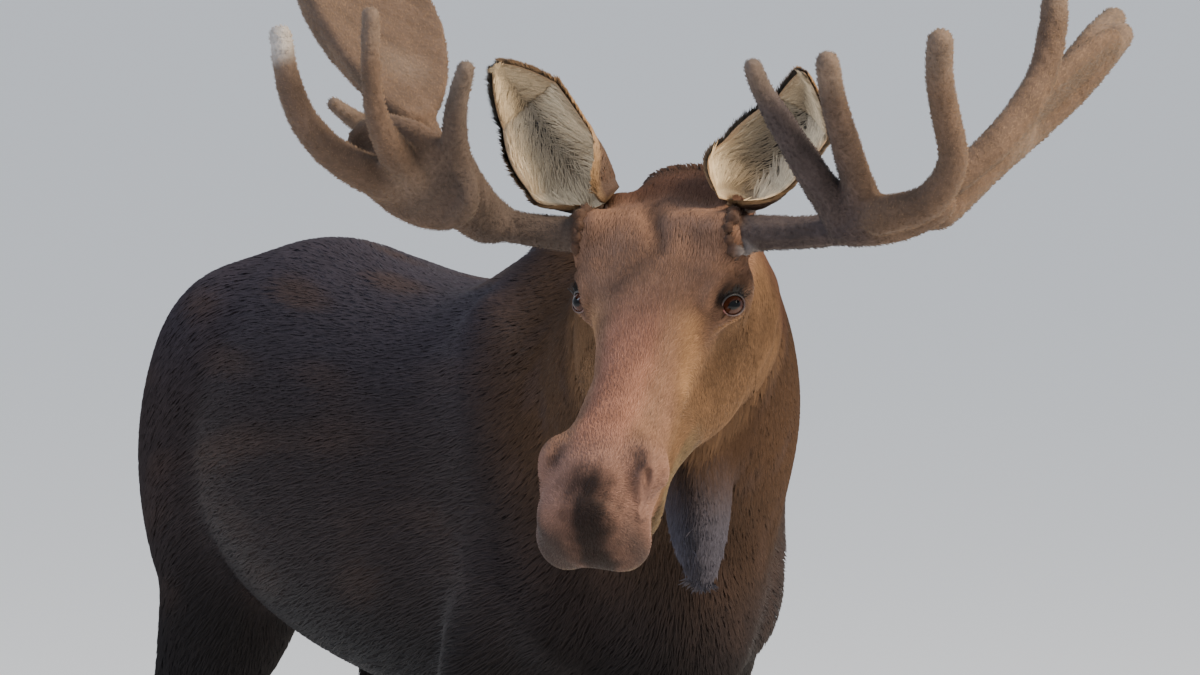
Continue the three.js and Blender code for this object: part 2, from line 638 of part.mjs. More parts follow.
function outsideLegs(p) {
  let value = -1000;
  const x = Math.abs(p.x);
  for (const { min, max } of LEG_BOXES) {
    value = Math.max(value, Math.min(x - min[0], max[0] - x, p.y - min[1], max[1] - p.y, max[2] - p.z));
  }
  return value;
}

const trunkFlesh = flesh(["trunk", "neck", "leg"]);
const trunkField = (p) => Math.max(trunkFlesh(p), outsideLegs(p));
const trunkSpine = frameSpine(BODY, [[-270, 1330], [0, 1360], [600, 1380], [1100, 1430], [1330, 1440]], 640);

function trunkSolid(swell = 0) {
  return wrap({ field: trunkField, spine: trunkSpine, sides: 24, rings: 20, domes: [3, 2], swell });
}

const neckSide = box(new THREE.Vector3(-900, -1200, -900), new THREE.Vector3(900, NECK_CUT + GAP, 900));
const trunk = trunkSolid().subtract(toSolid(neckSide.applyMatrix4(NECK)));
node("trunk", trunk, COLOURS.coat);

// Legs and feet: each leg starts inside its stub and keeps only what lies outside the trunk
const besideTrunk = trunkSolid(GAP);
for (const side of Object.keys(SIDES)) {
  const legs = {
    fore: { rows: foreRows(side), top: FORE_CUT },
    hind: { rows: hindRows(side), top: HIND_CUT },
  };
  for (const [end, { rows, top }] of Object.entries(legs)) {
    const [x, y] = rows[rows.length - 1];
    const foot = HOOF.height + GAP;
    const cutters = [];
    for (const [claw, outward] of Object.entries({ outer: SIDES[side], inner: -SIDES[side] })) {
      const name = `${end}_${side}_${claw}`;
      node(`hoof_${name}`, clawGeometry(x, y, outward), COLOURS.hoof);
      const dewclaw = limbSolid(dewclawRows(x, y, outward), { sides: 6, rings: 2, domes: [1, 2] });
      node(`dewclaw_${name}`, dewclaw, COLOURS.hoof);
      cutters.push(limbSolid(dewclawRows(x, y, outward), { sides: 6, rings: 2, domes: [1, 2], swell: GAP }));
    }
    const whole = legSolid(rows, top + LEG_ROOT, foot).subtract(besideTrunk);
    const leg = cutters.reduce((solid, cutter) => solid.subtract(cutter), whole);
    node(`${end}_leg_${side}`, leg, COLOURS.coat);
  }
}

// Head with its eyes, ears and antlers
let head = headSolid();
for (const side of Object.keys(SIDES)) {
  node(`eye_${side}`, eyeGeometry(side), COLOURS.eye);
  head = head.subtract(toSolid(eyeGeometry(side, GAP)));
  const ear = earSolid(side).subtract(headSolid(GAP));
  node(`ear_${side}`, ear, COLOURS.ear);
  node(`antler_${side}_beam`, beamSolid(side).subtract(headSolid(GAP)), COLOURS.velvet);
  const beamCutter = beamSolid(side, ANTLER_GAP);
  node(`antler_${side}_brow`, browSolid(side).subtract(beamCutter), COLOURS.velvet);
  const palm = palmSolid(side).subtract(browSolid(side, ANTLER_GAP)).subtract(beamCutter);
  node(`antler_${side}_palm`, palm, COLOURS.velvet);
}
node("head", head, COLOURS.face);

// Neck, sunk under the head's surface so that only what lies behind the head is left of it
const HEAD_SINK = 6;
const neckSpine = frameSpine(NECK, [[NECK_CUT, -30], [-400, -30], [-600, -30]].reverse(), 620);
const neckField = flesh(["trunk", "neck", "leg", "head"], HEAD_SINK);
const neckShape = { field: neckField, spine: neckSpine, sides: 20, rings: 7, domes: [3, 1] };
const neck = wrap(neckShape);
const ears = Object.keys(SIDES).map((side) => earSolid(side, ANTLER_GAP));
const besideEars = ears.reduce((solid, ear) => solid.subtract(ear), neck);
const besideEyes = Object.keys(SIDES).reduce((solid, side) => solid.subtract(toSolid(eyeGeometry(side, GAP))), besideEars);
node("neck", besideEyes.subtract(headSolid(GAP)), COLOURS.coat);

// Bell under the throat and the short tail
const bell = limbSolid(BELL, { sides: 10, rings: 6, flat: BELL_SIDE, squash: BELL_SQUASH });
const neckCutter = wrap({ ...neckShape, swell: GAP });
node("bell", bell.subtract(headSolid(GAP)).subtract(neckCutter), COLOURS.coat);
node("tail", limbSolid(TAIL, { sides: 8, rings: 4 }).subtract(trunkSolid(GAP)), COLOURS.coat);

// The origin goes to the middle of the floor that the model covers
const bounds = new THREE.Box3().setFromObject(moose);
const centre = bounds.getCenter(new THREE.Vector3());
moose.position.set(-centre.x, -centre.y, -bounds.min.z);

export default moose;
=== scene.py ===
# A bull moose in summer velvet, standing with its head turned, as a still life-size museum model.
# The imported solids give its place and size. Forms are told in millimetres, and made in metres.
import math

import bpy
import numpy as np
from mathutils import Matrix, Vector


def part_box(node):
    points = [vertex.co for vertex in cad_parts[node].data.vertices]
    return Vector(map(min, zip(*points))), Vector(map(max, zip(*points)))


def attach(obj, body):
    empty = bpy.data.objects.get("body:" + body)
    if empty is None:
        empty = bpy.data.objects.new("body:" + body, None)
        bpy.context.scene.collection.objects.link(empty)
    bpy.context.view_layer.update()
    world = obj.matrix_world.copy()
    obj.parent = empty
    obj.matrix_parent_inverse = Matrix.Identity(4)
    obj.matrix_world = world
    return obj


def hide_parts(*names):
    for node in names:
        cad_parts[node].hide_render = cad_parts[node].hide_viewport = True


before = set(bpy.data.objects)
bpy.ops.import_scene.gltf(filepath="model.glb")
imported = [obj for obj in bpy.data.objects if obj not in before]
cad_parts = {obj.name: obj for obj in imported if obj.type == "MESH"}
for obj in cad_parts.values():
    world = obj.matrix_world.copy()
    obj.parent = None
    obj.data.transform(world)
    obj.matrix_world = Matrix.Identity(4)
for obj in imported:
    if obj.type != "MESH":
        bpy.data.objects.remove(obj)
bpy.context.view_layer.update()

import openvdb
from mathutils import Matrix

# ---- Camera, floor and light ----
# The body stands along Y and faces -Y, with +X to its left. The head hangs turned to its right, in a
# frame of its own: x to its left, y back towards the poll, z up off the face. The camera is long and
# far off, a little above the eyes. A pale floor, a broad warm light from the right and a cool sky.

MM = 0.001
SIDES = {"left": 1, "right": -1}


def turn(axis, degrees):
    """The matrix that turns about x, y or z."""
    c, s = math.cos(math.radians(degrees)), math.sin(math.radians(degrees))
    i, j = {"x": (1, 2), "y": (2, 0), "z": (0, 1)}[axis]
    m = np.eye(3)
    m[i, i] = m[j, j] = c
    m[i, j], m[j, i] = -s, s
    return m


class Place:
    """A frame of its own: an origin in metres and three axes as the columns of a matrix."""

    def __init__(self, origin, axes):
        self.origin, self.axes = np.asarray(origin, float), np.asarray(axes, float)

    def inside(self, points):
        return (points - self.origin) @ self.axes

    def outside(self, points):
        return np.asarray(points, float) @ self.axes.T + self.origin

    def at(self, *millimetres):
        return self.outside(np.array(millimetres, float) * MM)


def unit(v):
    """Vectors divided by their lengths."""
    v = np.asarray(v, float)
    return v / np.maximum(np.linalg.norm(v, axis=-1, keepdims=True), 1e-12)


EYES = np.array([-270, -725, 1800])  # midway between the eyes
EYEBALL = {"radius": 20, "centre": (126, 0, -7)}
head_axes = turn("z", -47) @ turn("x", 46) @ turn("y", -1)
low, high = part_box("eye_left")
left_eye = (np.array(low) + np.array(high)) / 2
floor_point = left_eye - (EYES + head_axes @ np.array(EYEBALL["centre"])) * MM  # under the withers
BODY = Place(floor_point, np.eye(3))
HEAD = Place(BODY.at(*EYES), head_axes)

# Angles in degrees, and lengths in metres from the point between the eyes.
VIEW = {"azimuth": -27, "elevation": 5, "distance": 14.0, "right": -0.09194, "up": -0.05887}
SENSOR, LENS = 36, 260.4  # millimetres


def looking(azimuth, elevation):
    """Right, up and back of a camera that looks along +Y at azimuth 0."""
    a, e = math.radians(azimuth), math.radians(elevation)
    back = np.array([math.sin(a) * math.cos(e), -math.cos(a) * math.cos(e), math.sin(e)])
    right = np.array([math.cos(a), math.sin(a), 0])
    return right, np.cross(back, right), back


right, up, back = looking(VIEW["azimuth"], VIEW["elevation"])
lens = bpy.data.cameras.new("camera")
lens.sensor_width, lens.lens = SENSOR, LENS
lens.clip_start, lens.clip_end = 0.5, 400
camera = bpy.data.objects.new("camera", lens)
place = HEAD.origin + VIEW["right"] * right + VIEW["up"] * up + VIEW["distance"] * back
camera.matrix_world = Matrix.Translation(place) @ Matrix(np.stack([right, up, back], 1)).to_4x4()
bpy.context.scene.collection.objects.link(camera)
bpy.context.scene.camera = camera


def mesh_object(name, points, faces, colour=None):
    """A smooth mesh object from arrays of points, of faces with as many corners each, and of colours."""
    mesh = bpy.data.meshes.new(name)
    mesh.vertices.add(len(points))
    mesh.vertices.foreach_set("co", np.asarray(points, np.float32).ravel())
    corners = faces.shape[1]
    mesh.loops.add(faces.size)
    mesh.loops.foreach_set("vertex_index", faces.astype(np.int32).ravel())
    mesh.polygons.add(len(faces))
    mesh.polygons.foreach_set("loop_start", np.arange(0, faces.size, corners, dtype=np.int32))
    mesh.polygons.foreach_set("use_smooth", np.ones(len(faces), bool))
    mesh.update(calc_edges=True)
    if colour is not None:
        tone = mesh.attributes.new("tone", "FLOAT_COLOR", "POINT")
        solid = np.column_stack([colour, np.ones(len(points))])
        tone.data.foreach_set("color", solid.astype(np.float32).ravel())
    piece = bpy.data.objects.new(name, mesh)
    bpy.context.scene.collection.objects.link(piece)
    return piece


class Value:
    """A socket of a shader. Those that carry numbers can be added, taken away and multiplied."""

    def __init__(self, paint, socket):
        self.paint, self.socket = paint, socket

    def _math(self, operation, a, b):
        return self.paint.node("Math", 0, {"operation": operation}, {0: a, 1: b})

    def __add__(self, other):
        return self._math("ADD", self, other)

    def __radd__(self, other):
        return self._math("ADD", other, self)

    def __sub__(self, other):
        return self._math("SUBTRACT", self, other)

    def __rsub__(self, other):
        return self._math("SUBTRACT", other, self)

    def __mul__(self, other):
        return self._math("MULTIPLY", self, other)

    def __rmul__(self, other):
        return self._math("MULTIPLY", other, self)


class Paint:
    """A material in the making."""

    def __init__(self, name):
        self.material = bpy.data.materials.new(name)
        self.material.use_nodes = True
        self.tree = self.material.node_tree
        self.shader = self.tree.nodes["Principled BSDF"]

    def fill(self, made, sockets):
        for key, value in sockets.items():
            socket = made.inputs[key]
            if isinstance(value, Value):
                self.tree.links.new(value.socket, socket)
            elif isinstance(value, tuple) and len(value) < len(socket.default_value):
                socket.default_value = (*value, 1)
            else:
                socket.default_value = value

    def node(self, kind, out=0, settings=None, sockets=None):
        """Adds a node: its settings first, then the values or links of its sockets. Gives one output."""
        made = self.tree.nodes.new("ShaderNode" + kind)
        for key, value in (settings or {}).items():
            if key == "stops":
                for i, (at, grey) in enumerate(value):
                    stop = made.color_ramp.elements[i] if i < 2 else made.color_ramp.elements.new(at)
                    stop.position, stop.color = at, (*np.broadcast_to(grey, 3), 1)
            else:
                setattr(made, key, value)
        self.fill(made, sockets or {})
        return Value(self, made.outputs[out])

    def tone(self):
        """The colours on the mesh's own points."""
        return self.node("Attribute", "Color", {"attribute_name": "tone"})

    def spot(self):
        """Places in the object's own frame."""
        return self.node("TexCoord", "Object")

    def noise(self, vector, scale, detail=3):
        return self.node("TexNoise", "Fac", None, {
            "Vector": vector, "Scale": scale, "Detail": detail, "Roughness": 0.55,
        })

    def mix(self, factor, a, b, blend="MIX"):
        return self.node("Mix", 2, {"data_type": "RGBA", "blend_type": blend}, {0: factor, 6: a, 7: b})

    def shade(self, colour, amount, stops):
        """A colour multiplied by a ramp of greys."""
        return self.mix(1.0, colour, self.node("ValToRGB", 0, {"stops": stops}, {0: amount}), "MULTIPLY")

    def bump(self, height, distance):
        return self.node("Bump", 0, None, {"Height": height, "Distance": distance, "Strength": 1.0})

    def done(self, **sockets):
        """Fills the shader's own sockets, whose names are given with _ for a space."""
        self.fill(self.shader, {key.replace("_", " "): value for key, value in sockets.items()})
        return self.material


FLOOR_HALF = 150
floor = mesh_object(
    "floor",
    np.array([[-1, -1, 0], [1, -1, 0], [1, 1, 0], [-1, 1, 0]], float) * (FLOOR_HALF, FLOOR_HALF, 1),
    np.array([[0, 1, 2, 3]]),
)
floor.data.materials.append(Paint("floor").done(Base_Color=(0.94, 0.93, 0.91), Roughness=0.9))

sky = bpy.data.worlds.new("studio")
sky.use_nodes = True
sky.node_tree.nodes["Background"].inputs["Color"].default_value = (0.84, 0.9, 1.0, 1)
sky.node_tree.nodes["Background"].inputs["Strength"].default_value = 0.8
bpy.context.scene.world = sky


def lamp(name, watts, colour, size, azimuth, elevation, distance):
    """A square light that faces the head's place from that direction."""
    right, up, back = looking(azimuth, elevation)
    light = bpy.data.lights.new(name, "AREA")
    light.energy, light.color, light.size = watts, colour, size
    holder = bpy.data.objects.new(name, light)
    axes = Matrix(np.stack([right, up, back], 1)).to_4x4()
    holder.matrix_world = Matrix.Translation(HEAD.origin + back * distance) @ axes
    bpy.context.scene.collection.objects.link(holder)


lamp("key", 1500, (1.0, 0.87, 0.68), 2.5, VIEW["azimuth"] + 62, 38, 7)
lamp("fill", 500, (0.7, 0.82, 1.0), 4, VIEW["azimuth"] - 60, 40, 8)

# ---- Skin ----
# The hide over the body, neck, legs and head, one closed surface with no seam. It lies under the coat's
# tips by the coat's depth. Masses of flesh melt into each other, and folds, lids and nostrils are added.

NECK_BASE, NECK_END = np.array([0, -60, 1490]), np.array([-150, -590, 1790])
neck_back = unit(NECK_BASE - NECK_END)
neck_left = unit(np.cross(neck_back, (0, 0, 1)))
NECK = Place(BODY.at(*NECK_BASE), np.stack([neck_left, neck_back, np.cross(neck_left, neck_back)], 1))


def along(x, rows):
    """Rows of [x, values...] joined by Hermite curves, with gradients of second order at the rows."""
    rows = np.asarray(rows, float)
    xs, ys = rows[:, 0], rows[:, 1:]
    slopes = np.gradient(ys, xs, axis=0)
    x = np.clip(x, xs[0], xs[-1])
    i = np.clip(np.searchsorted(xs, x) - 1, 0, len(xs) - 2)
    h = (xs[i + 1] - xs[i])[..., None]
    t = (x - xs[i])[..., None] / h
    start = (2 * t**3 - 3 * t**2 + 1) * ys[i] + (t**3 - 2 * t**2 + t) * h * slopes[i]
    return start + (3 * t**2 - 2 * t**3) * ys[i + 1] + (t**3 - t**2) * h * slopes[i + 1]


def loft(rows, front_cap, back_cap, top_power=2, bottom_power=2):
    """A body along y, from rows of [y, half width, top, bottom, widest height, shift]. Its section is
    (x/width)^power + (z/height)^power = 1, and its ends are rounded over the caps' lengths."""
    rows = np.array([[*row, 0][:6] for row in sorted(rows)], float) * MM
    first, last = rows[0, 0], rows[-1, 0]
    caps = front_cap * MM, back_cap * MM
    wide = rows[:, 1] + abs(rows[:, 5])
    low = np.array([-wide.max(), first - caps[0], rows[:, 3].min()])
    high = np.array([wide.max(), last + caps[1], rows[:, 2].max()])

    def value(p):
        y = p[:, 1]
        width, top, bottom, widest, shift = along(y, rows).T
        cap = np.where(y < first, *caps)
        over = np.where(y < first, first - y, np.maximum(0, y - last)) / cap
        above = p[:, 2] > widest
        height = np.where(above, top - widest, widest - bottom)
        power = np.where(above, top_power, bottom_power)
        x, z = np.abs(p[:, 0] - shift) / width, np.abs(p[:, 2] - widest) / height
        k = np.hypot((x**power + z**power + 1e-12) ** (1 / power), over)
        slope = np.sqrt((x / width) ** 2 + (z / height) ** 2 + (over / cap) ** 2) / np.maximum(k, 1e-6)
        return (k - 1) / np.maximum(slope, 0.5 / np.maximum(width, height))

    return value, low, high


def path(rows, count):
    """Points [x, y, z, radius] spread evenly along a smooth curve through the rows."""
    rows = np.asarray(rows, float) * MM
    lengths = np.concatenate([[0], np.cumsum(np.linalg.norm(np.diff(rows[:, :3], axis=0), axis=1))])
    return along(np.linspace(0, lengths[-1], count), np.column_stack([lengths, rows]))


def limb(rows, flat=None, squash=1):
    """The nearest distance to a curve less its radius there, thinned along `flat` by `squash`."""
    points = path(rows, 3 * len(rows) + 1)
    low = (points[:, :3] - points[:, 3:]).min(0)
    high = (points[:, :3] + points[:, 3:]).max(0)
    thin = None if flat is None else unit(flat)

    def value(p):
        best = np.full(len(p), 9.0)
        for a, b in zip(points[:-1], points[1:]):
            d = b[:3] - a[:3]
            t = np.clip((p - a[:3]) @ d / (d @ d), 0, 1)
            q = p - a[:3] - t[:, None] * d
            if thin is not None:
                q = q + ((1 / squash - 1) * (q @ thin))[:, None] * thin
            best = np.minimum(best, np.sqrt((q * q).sum(1)) - (a[3] + t * (b[3] - a[3])))
        return best * math.sqrt(squash)

    return value, low, high


def ball(centre, radii, tilt=0):
    """An ellipsoid, tilted about x, by the usual near distance k0 (k0 - 1) / k1."""
    centre, radii = np.array(centre, float) * MM, np.array(radii, float) * MM
    axes = turn("x", tilt)
    reach = radii.max()

    def value(p):
        q = (p - centre) @ axes
        k0 = np.linalg.norm(q / radii, axis=1) + 1e-9
        k1 = np.linalg.norm(q / radii**2, axis=1) + 1e-9
        return k0 * (k0 - 1) / k1

    return value, centre - reach, centre + reach


def box_corners(low, high):
    """The eight corners of a box."""
    return low + (high - low) * np.array(list(np.ndindex(2, 2, 2)))


class Flesh:
    """Masses melted together by the polynomial smooth minimum, each within its own box."""

    FAR = 0.2

    def __init__(self):
        self.masses = []

    def add(self, shape, blend, place=BODY):
        value, low, high = shape
        margin = blend * MM * 1.2 + 0.03
        self.masses.append((value, low - margin, high + margin, blend * MM, place))

    def both(self, make, blend, place=BODY):
        for side in SIDES.values():
            self.add(make(side), blend, place)

    @staticmethod
    def melt(a, b, k):
        h = np.clip(0.5 + 0.5 * (b - a) / k, 0, 1)
        return b + (a - b) * h - k * h * (1 - h)

    def __call__(self, points):
        found = np.full(len(points), self.FAR)
        for value, low, high, blend, place in self.masses:
            local = place.inside(points)
            near = np.flatnonzero(((local > low) & (local < high)).all(1))
            if len(near):
                found[near] = self.melt(found[near], value(local[near]), blend)
        return found

    def grid(self, axes):
        """The same value on a grid, each mass worked out only in the block that its box meets."""
        found = np.full([len(a) for a in axes], self.FAR, np.float32)
        for value, low, high, blend, place in self.masses:
            corners = place.outside(box_corners(low, high))
            ends = zip(axes, corners.min(0), corners.max(0))
            block = tuple(slice(*np.searchsorted(a, (start, stop))) for a, start, stop in ends)
            sides = [a[s] for a, s in zip(axes, block)]
            if not all(len(s) for s in sides):
                continue
            points = np.stack([m.ravel() for m in np.meshgrid(*sides, indexing="ij")], 1)
            local = place.inside(points)
            near = np.flatnonzero(((local > low) & (local < high)).all(1))
            old = found[block].ravel()
            old[near] = self.melt(old[near], value(local[near]), blend)
            found[block] = old.reshape(found[block].shape)
        return found


flesh = Flesh()
# Trunk: deep narrow chest, high withers, drooping rump
flesh.add(loft([
    [-300, 125, 1600, 1130, 1330], [-180, 178, 1770, 1040, 1330], [-30, 235, 1862, 985, 1330],
    [150, 285, 1815, 972, 1330], [330, 328, 1756, 980, 1330], [520, 352, 1742, 1000, 1330],
    [720, 356, 1746, 1030, 1330], [920, 332, 1764, 1078, 1350], [1080, 290, 1776, 1140, 1390],
    [1230, 236, 1736, 1195, 1410], [1330, 186, 1650, 1235, 1410],
], 120, 90, 2, 2.1), 60)
flesh.add(loft([
    [-250, 60, 1750, 1500, 1600], [-110, 78, 1868, 1500, 1600], [-10, 82, 1902, 1500, 1600],
    [80, 76, 1872, 1500, 1600], [180, 60, 1794, 1500, 1600],
], 90, 110), 80)
flesh.both(lambda side: ball([side * 172, -20, 1420], [82, 180, 320], -16), 80)
flesh.both(lambda side: ball([side * 150, -180, 1260], [84, 95, 125]), 80)
flesh.add(ball([0, -235, 1200], [125, 135, 185]), 90)
flesh.both(lambda side: ball([side * 146, 1205, 1445], [145, 205, 262]), 90)
flesh.both(lambda side: ball([side * 178, 1190, 1290], [112, 215, 250], 14), 80)
# Neck: short, deep and maned
flesh.add(loft([
    [-640, 150, 112, -185, 0, 4], [-540, 178, 156, -225, 0, 12], [-420, 202, 196, -262, -10, 26],
    [-280, 218, 236, -295, -20, 42], [-120, 228, 300, -330, -20, 40], [0, 232, 350, -360, -20, 20],
], 80, 100), 90, NECK)
# Legs: each foot stands a little ahead of or behind its even place
FORE_STEP = {"left": 30, "right": -50}
HIND_STEP = {"left": -30, "right": 60}
FORE_LEG = [
    [178, -60, 1260, 105, 0], [196, 10, 1130, 100, 0], [202, 45, 1040, 84, 0], [199, 35, 930, 66, 0.3],
    [194, 15, 800, 53, 0.4], [190, 0, 685, 48, 0.6], [187, -10, 615, 55, 0.7], [186, -8, 560, 51, 0.7],
    [183, 0, 495, 40, 0.8], [180, 8, 380, 35, 0.9], [178, 8, 250, 36, 1], [178, 2, 185, 45, 1],
    [178, -20, 135, 38, 1], [178, -42, 88, 42, 1],
]
HIND_LEG = [
    [178, 1110, 1280, 165, 0], [192, 1085, 1160, 140, 0], [200, 1130, 1050, 118, 0],
    [200, 1200, 960, 88, 0.3], [197, 1272, 860, 66, 0.5], [193, 1322, 775, 56, 0.7],
    [190, 1335, 715, 53, 0.8], [188, 1330, 620, 43, 0.8], [186, 1312, 440, 38, 0.9],
    [184, 1294, 260, 38, 1], [184, 1287, 192, 46, 1], [184, 1262, 138, 39, 1], [184, 1238, 90, 43, 1],
]
HEEL = [[191, 1345, 830, 24, 0.7], [191, 1378, 790, 28, 0.7], [191, 1378, 748, 26, 0.7]]


def stepped(rows, side, step):
    """A leg's rows on that side, its lower rows moved back by their share of the step."""
    return [[SIDES[side] * x, y + step * share, z, r] for x, y, z, r, share in rows]


for side, s in SIDES.items():
    flesh.add(limb(stepped(FORE_LEG, side, FORE_STEP[side])), 50)
    flesh.add(ball([s * 208, 105, 1070], [46, 58, 60]), 40)
    flesh.add(limb(stepped(HIND_LEG, side, HIND_STEP[side])), 60)
    flesh.add(limb(stepped(HEEL, side, HIND_STEP[side])), 26)
# Head: long face, brow, jaw, overhanging muzzle
flesh.add(loft([
    [240, 96, 34, -130, -30], [175, 106, 60, -160, -20], [110, 110, 80, -160, -5], [50, 110, 88, -160, 0],
    [-10, 106, 80, -152, 0], [-80, 90, 66, -138, -5], [-170, 75, 56, -118, -15], [-250, 76, 58, -112, -20],
    [-320, 85, 61, -114, -25, -4], [-380, 82, 55, -118, -35, -14], [-425, 79, 34, -124, -50, -26],
], 58, 60, 2.4, 2.2), 40, HEAD)
flesh.add(loft([
    [130, 92, -60, -258, -150], [40, 108, -60, -282, -165], [-60, 103, -60, -264, -158],
    [-160, 70, -60, -206, -135], [-250, 53, -60, -172, -125], [-320, 50, -70, -168, -130],
    [-355, 42, -85, -164, -130],
], 32, 70, 2.2, 2.2), 26, HEAD)
flesh.both(lambda side: ball([side * 108, 8, 0], [31, 46, 38]), 30, HEAD)
flesh.both(lambda side: ball([side * 98, 18, 38], [34, 52, 26]), 30, HEAD)
flesh.both(lambda side: ball([side * 84, 95, -100], [48, 95, 95]), 40, HEAD)
flesh.both(lambda side: limb([
    [side * 112, 52, 22, 26], [side * 116, 58, -14, 28], [side * 108, 40, -60, 26],
]), 24, HEAD)
flesh.both(lambda side: limb([[side * 66, 95, 38, 46], [side * 112, 90, 56, 42]]), 34, HEAD)
flesh.both(lambda side: ball([side * 76 - 5, -342, 4], [30, 42, 44]), 26, HEAD)
flesh.both(lambda side: ball([side * 49 - 30, -412, -94], [46, 42, 54], -30), 30, HEAD)
flesh.add(ball([-6, -335, -142], [46, 40, 34]), 26, HEAD)
flesh.both(lambda side: limb([[side * 82, 152, 16, 40], [side * 100, 168, 30, 24]]), 34, HEAD)
# Bell under the throat, and the short tail
BELL_DROP = [[0, 30, 30, 84], [-4, 5, -90, 76], [-6, -10, -190, 72], [-8, -20, -280, 60], [-8, -28, -335, 38]]
bell_root = np.append((HEAD.at(0, 60, -205) - BODY.origin) / MM, 0)
BELL = bell_root + np.array(BELL_DROP, float)
flesh.add(limb(BELL, HEAD.axes[:, 0], 0.73), 50)
flesh.add(limb([[0, 1370, 1600, 42], [0, 1420, 1545, 37], [0, 1440, 1475, 28]]), 30)


def ease(start, end, x):
    """0 at start, 1 at end and beyond, with a smooth rise between."""
    t = np.clip((x - start) / (end - start), 0, 1)
    return t * t * (3 - 2 * t)


def hill(x, middle, reach):
    """1 at the middle, falling off as exp(-(distance / reach)^2)."""
    return np.exp(-(((x - middle) / reach) ** 2))


def trail(points, rows):
    """The nearest distance from points to a broken line."""
    rows = np.asarray(rows, float)
    best = np.full(len(points), 1e9)
    for a, b in zip(rows[:-1], rows[1:]):
        t = np.clip((points - a) @ (b - a) / ((b - a) @ (b - a)), 0, 1)
        best = np.minimum(best, np.linalg.norm(points - a - t[:, None] * (b - a), axis=1))
    return best


def round_way(theta, phi):
    """Unit vectors, as (sin(theta) cos(phi), sin(theta) sin(phi), cos(theta))."""
    across = np.sin(theta)
    return np.stack(np.broadcast_arrays(across * np.cos(phi), across * np.sin(phi), np.cos(theta)), -1)


class Gaze:
    """Places about an eyeball: r from its centre, phi round its gaze, 0 at the inner corner and a quarter
    turn at the upper lid, and e, the angle off the gaze as a share of the lids' opening there."""

    HALF_LENGTH, HALF_HEIGHT, CORNER = 61, 49, 10  # degrees

    def __init__(self, side):
        mirror = np.array([SIDES[side], 1, 1])
        out = unit((0.56, -0.50, 0.66))
        inner = unit((-0.55, -0.75, 0.33) - out * (np.array((-0.55, -0.75, 0.33)) @ out))
        self.centre = np.array(EYEBALL["centre"]) * mirror
        self.axes = np.stack([inner, np.cross(inner, out), out]) * mirror

    def opening(self, phi):
        """The lids' half opening: an ellipse of angles, drawn out at the inner corner."""
        oval = 1 / np.sqrt((np.cos(phi) / self.HALF_LENGTH) ** 2 + (np.sin(phi) / self.HALF_HEIGHT) ** 2)
        return np.radians(oval + self.CORNER * hill(phi, 0, 0.3))

    def polar(self, h):
        d = (h - self.centre) @ self.axes.T
        phi = np.arctan2(d[:, 1], d[:, 0])
        theta = np.arctan2(np.hypot(d[:, 0], d[:, 1]), d[:, 2])
        return np.linalg.norm(d, axis=1), theta / self.opening(phi), phi

    def place(self, r, e, phi):
        way = round_way(e * self.opening(phi), phi)
        return self.centre + np.asarray(r)[..., None] * way @ self.axes


GAZES = {side: Gaze(side) for side in SIDES}
LID_RADIUS = 22.2
ORBIT = {"ahead": 46, "reach": 37, "blend": 14}  # a ball of air before the eye, which hollows the flesh
for side in SIDES:
    flesh.add(ball(GAZES[side].centre, [LID_RADIUS + 1.6] * 3), 9, HEAD)

# Folds of the face in the head's frame: [height, reach, line], on both sides
PAIRED_FOLDS = [
    [-5, 8, [[118, -48, 20], [112, -78, 6], [102, -112, -14]]],
    [3.5, 9, [[106, -44, 40], [100, -82, 22], [92, -118, 2]]],
    [3.5, 8, [[141, -28, -22], [132, -58, -26], [118, -92, -30]]],
    [-4, 11, [[132, 34, 40], [122, 20, 62], [104, -14, 66]]],
    [-4, 14, [[98, -18, 60], [88, -60, 52]]],
    [6, 20, [[112, -60, -52], [96, -130, -62], [82, -200, -64]]],
    [-7, 34, [[76, -110, 6], [68, -170, -2]]],
    [-6, 26, [[54, -180, 42], [52, -260, 40]]],
    [-6, 14, [[70, -352, 50], [72, -366, 44]]],
    [-4, 10, [[92, -330, -30], [80, -366, -62], [66, -398, -96]]],
    [5, 12, [[98, -336, 12], [98, -352, -22]]],
    [-7, 26, [[112, 40, -70], [112, 84, -130], [104, 110, -190]]],
]
MIDDLE_FOLDS = [
    [-9, 15, [[-26, 146, 72], [-18, 112, 80], [2, 72, 86], [14, 40, 90]]],
    [-5, 13, [[10, 36, 90], [-14, 6, 88], [-50, -34, 74]]],
    [6, 20, [[20, 100, 84], [56, 100, 84], [92, 84, 78]]],
    [-10, 24, [[-60, 172, 62], [0, 186, 66], [70, 164, 66]]],
    [-3, 14, [[0, -440, 10], [-4, -474, -40]]],
]
NOSTRIL = [[88, -376, 30], [84, -392, 8], [78, -401, -18], [73, -402, -38]]
MUZZLE_SHIFT = 16  # how far the muzzle is pushed to the animal's right
MOUTH = [
    [-76, -238, -116], [-72, -300, -124], [-40, -380, -134], [-6, -398, -136],
    [32, -384, -134], [62, -310, -124], [68, -238, -116],
]


def nostril_reach(h):
    return np.minimum(trail(h, NOSTRIL), trail(h * (-1, 1, 1) - (2 * MUZZLE_SHIFT, 0, 0), NOSTRIL))


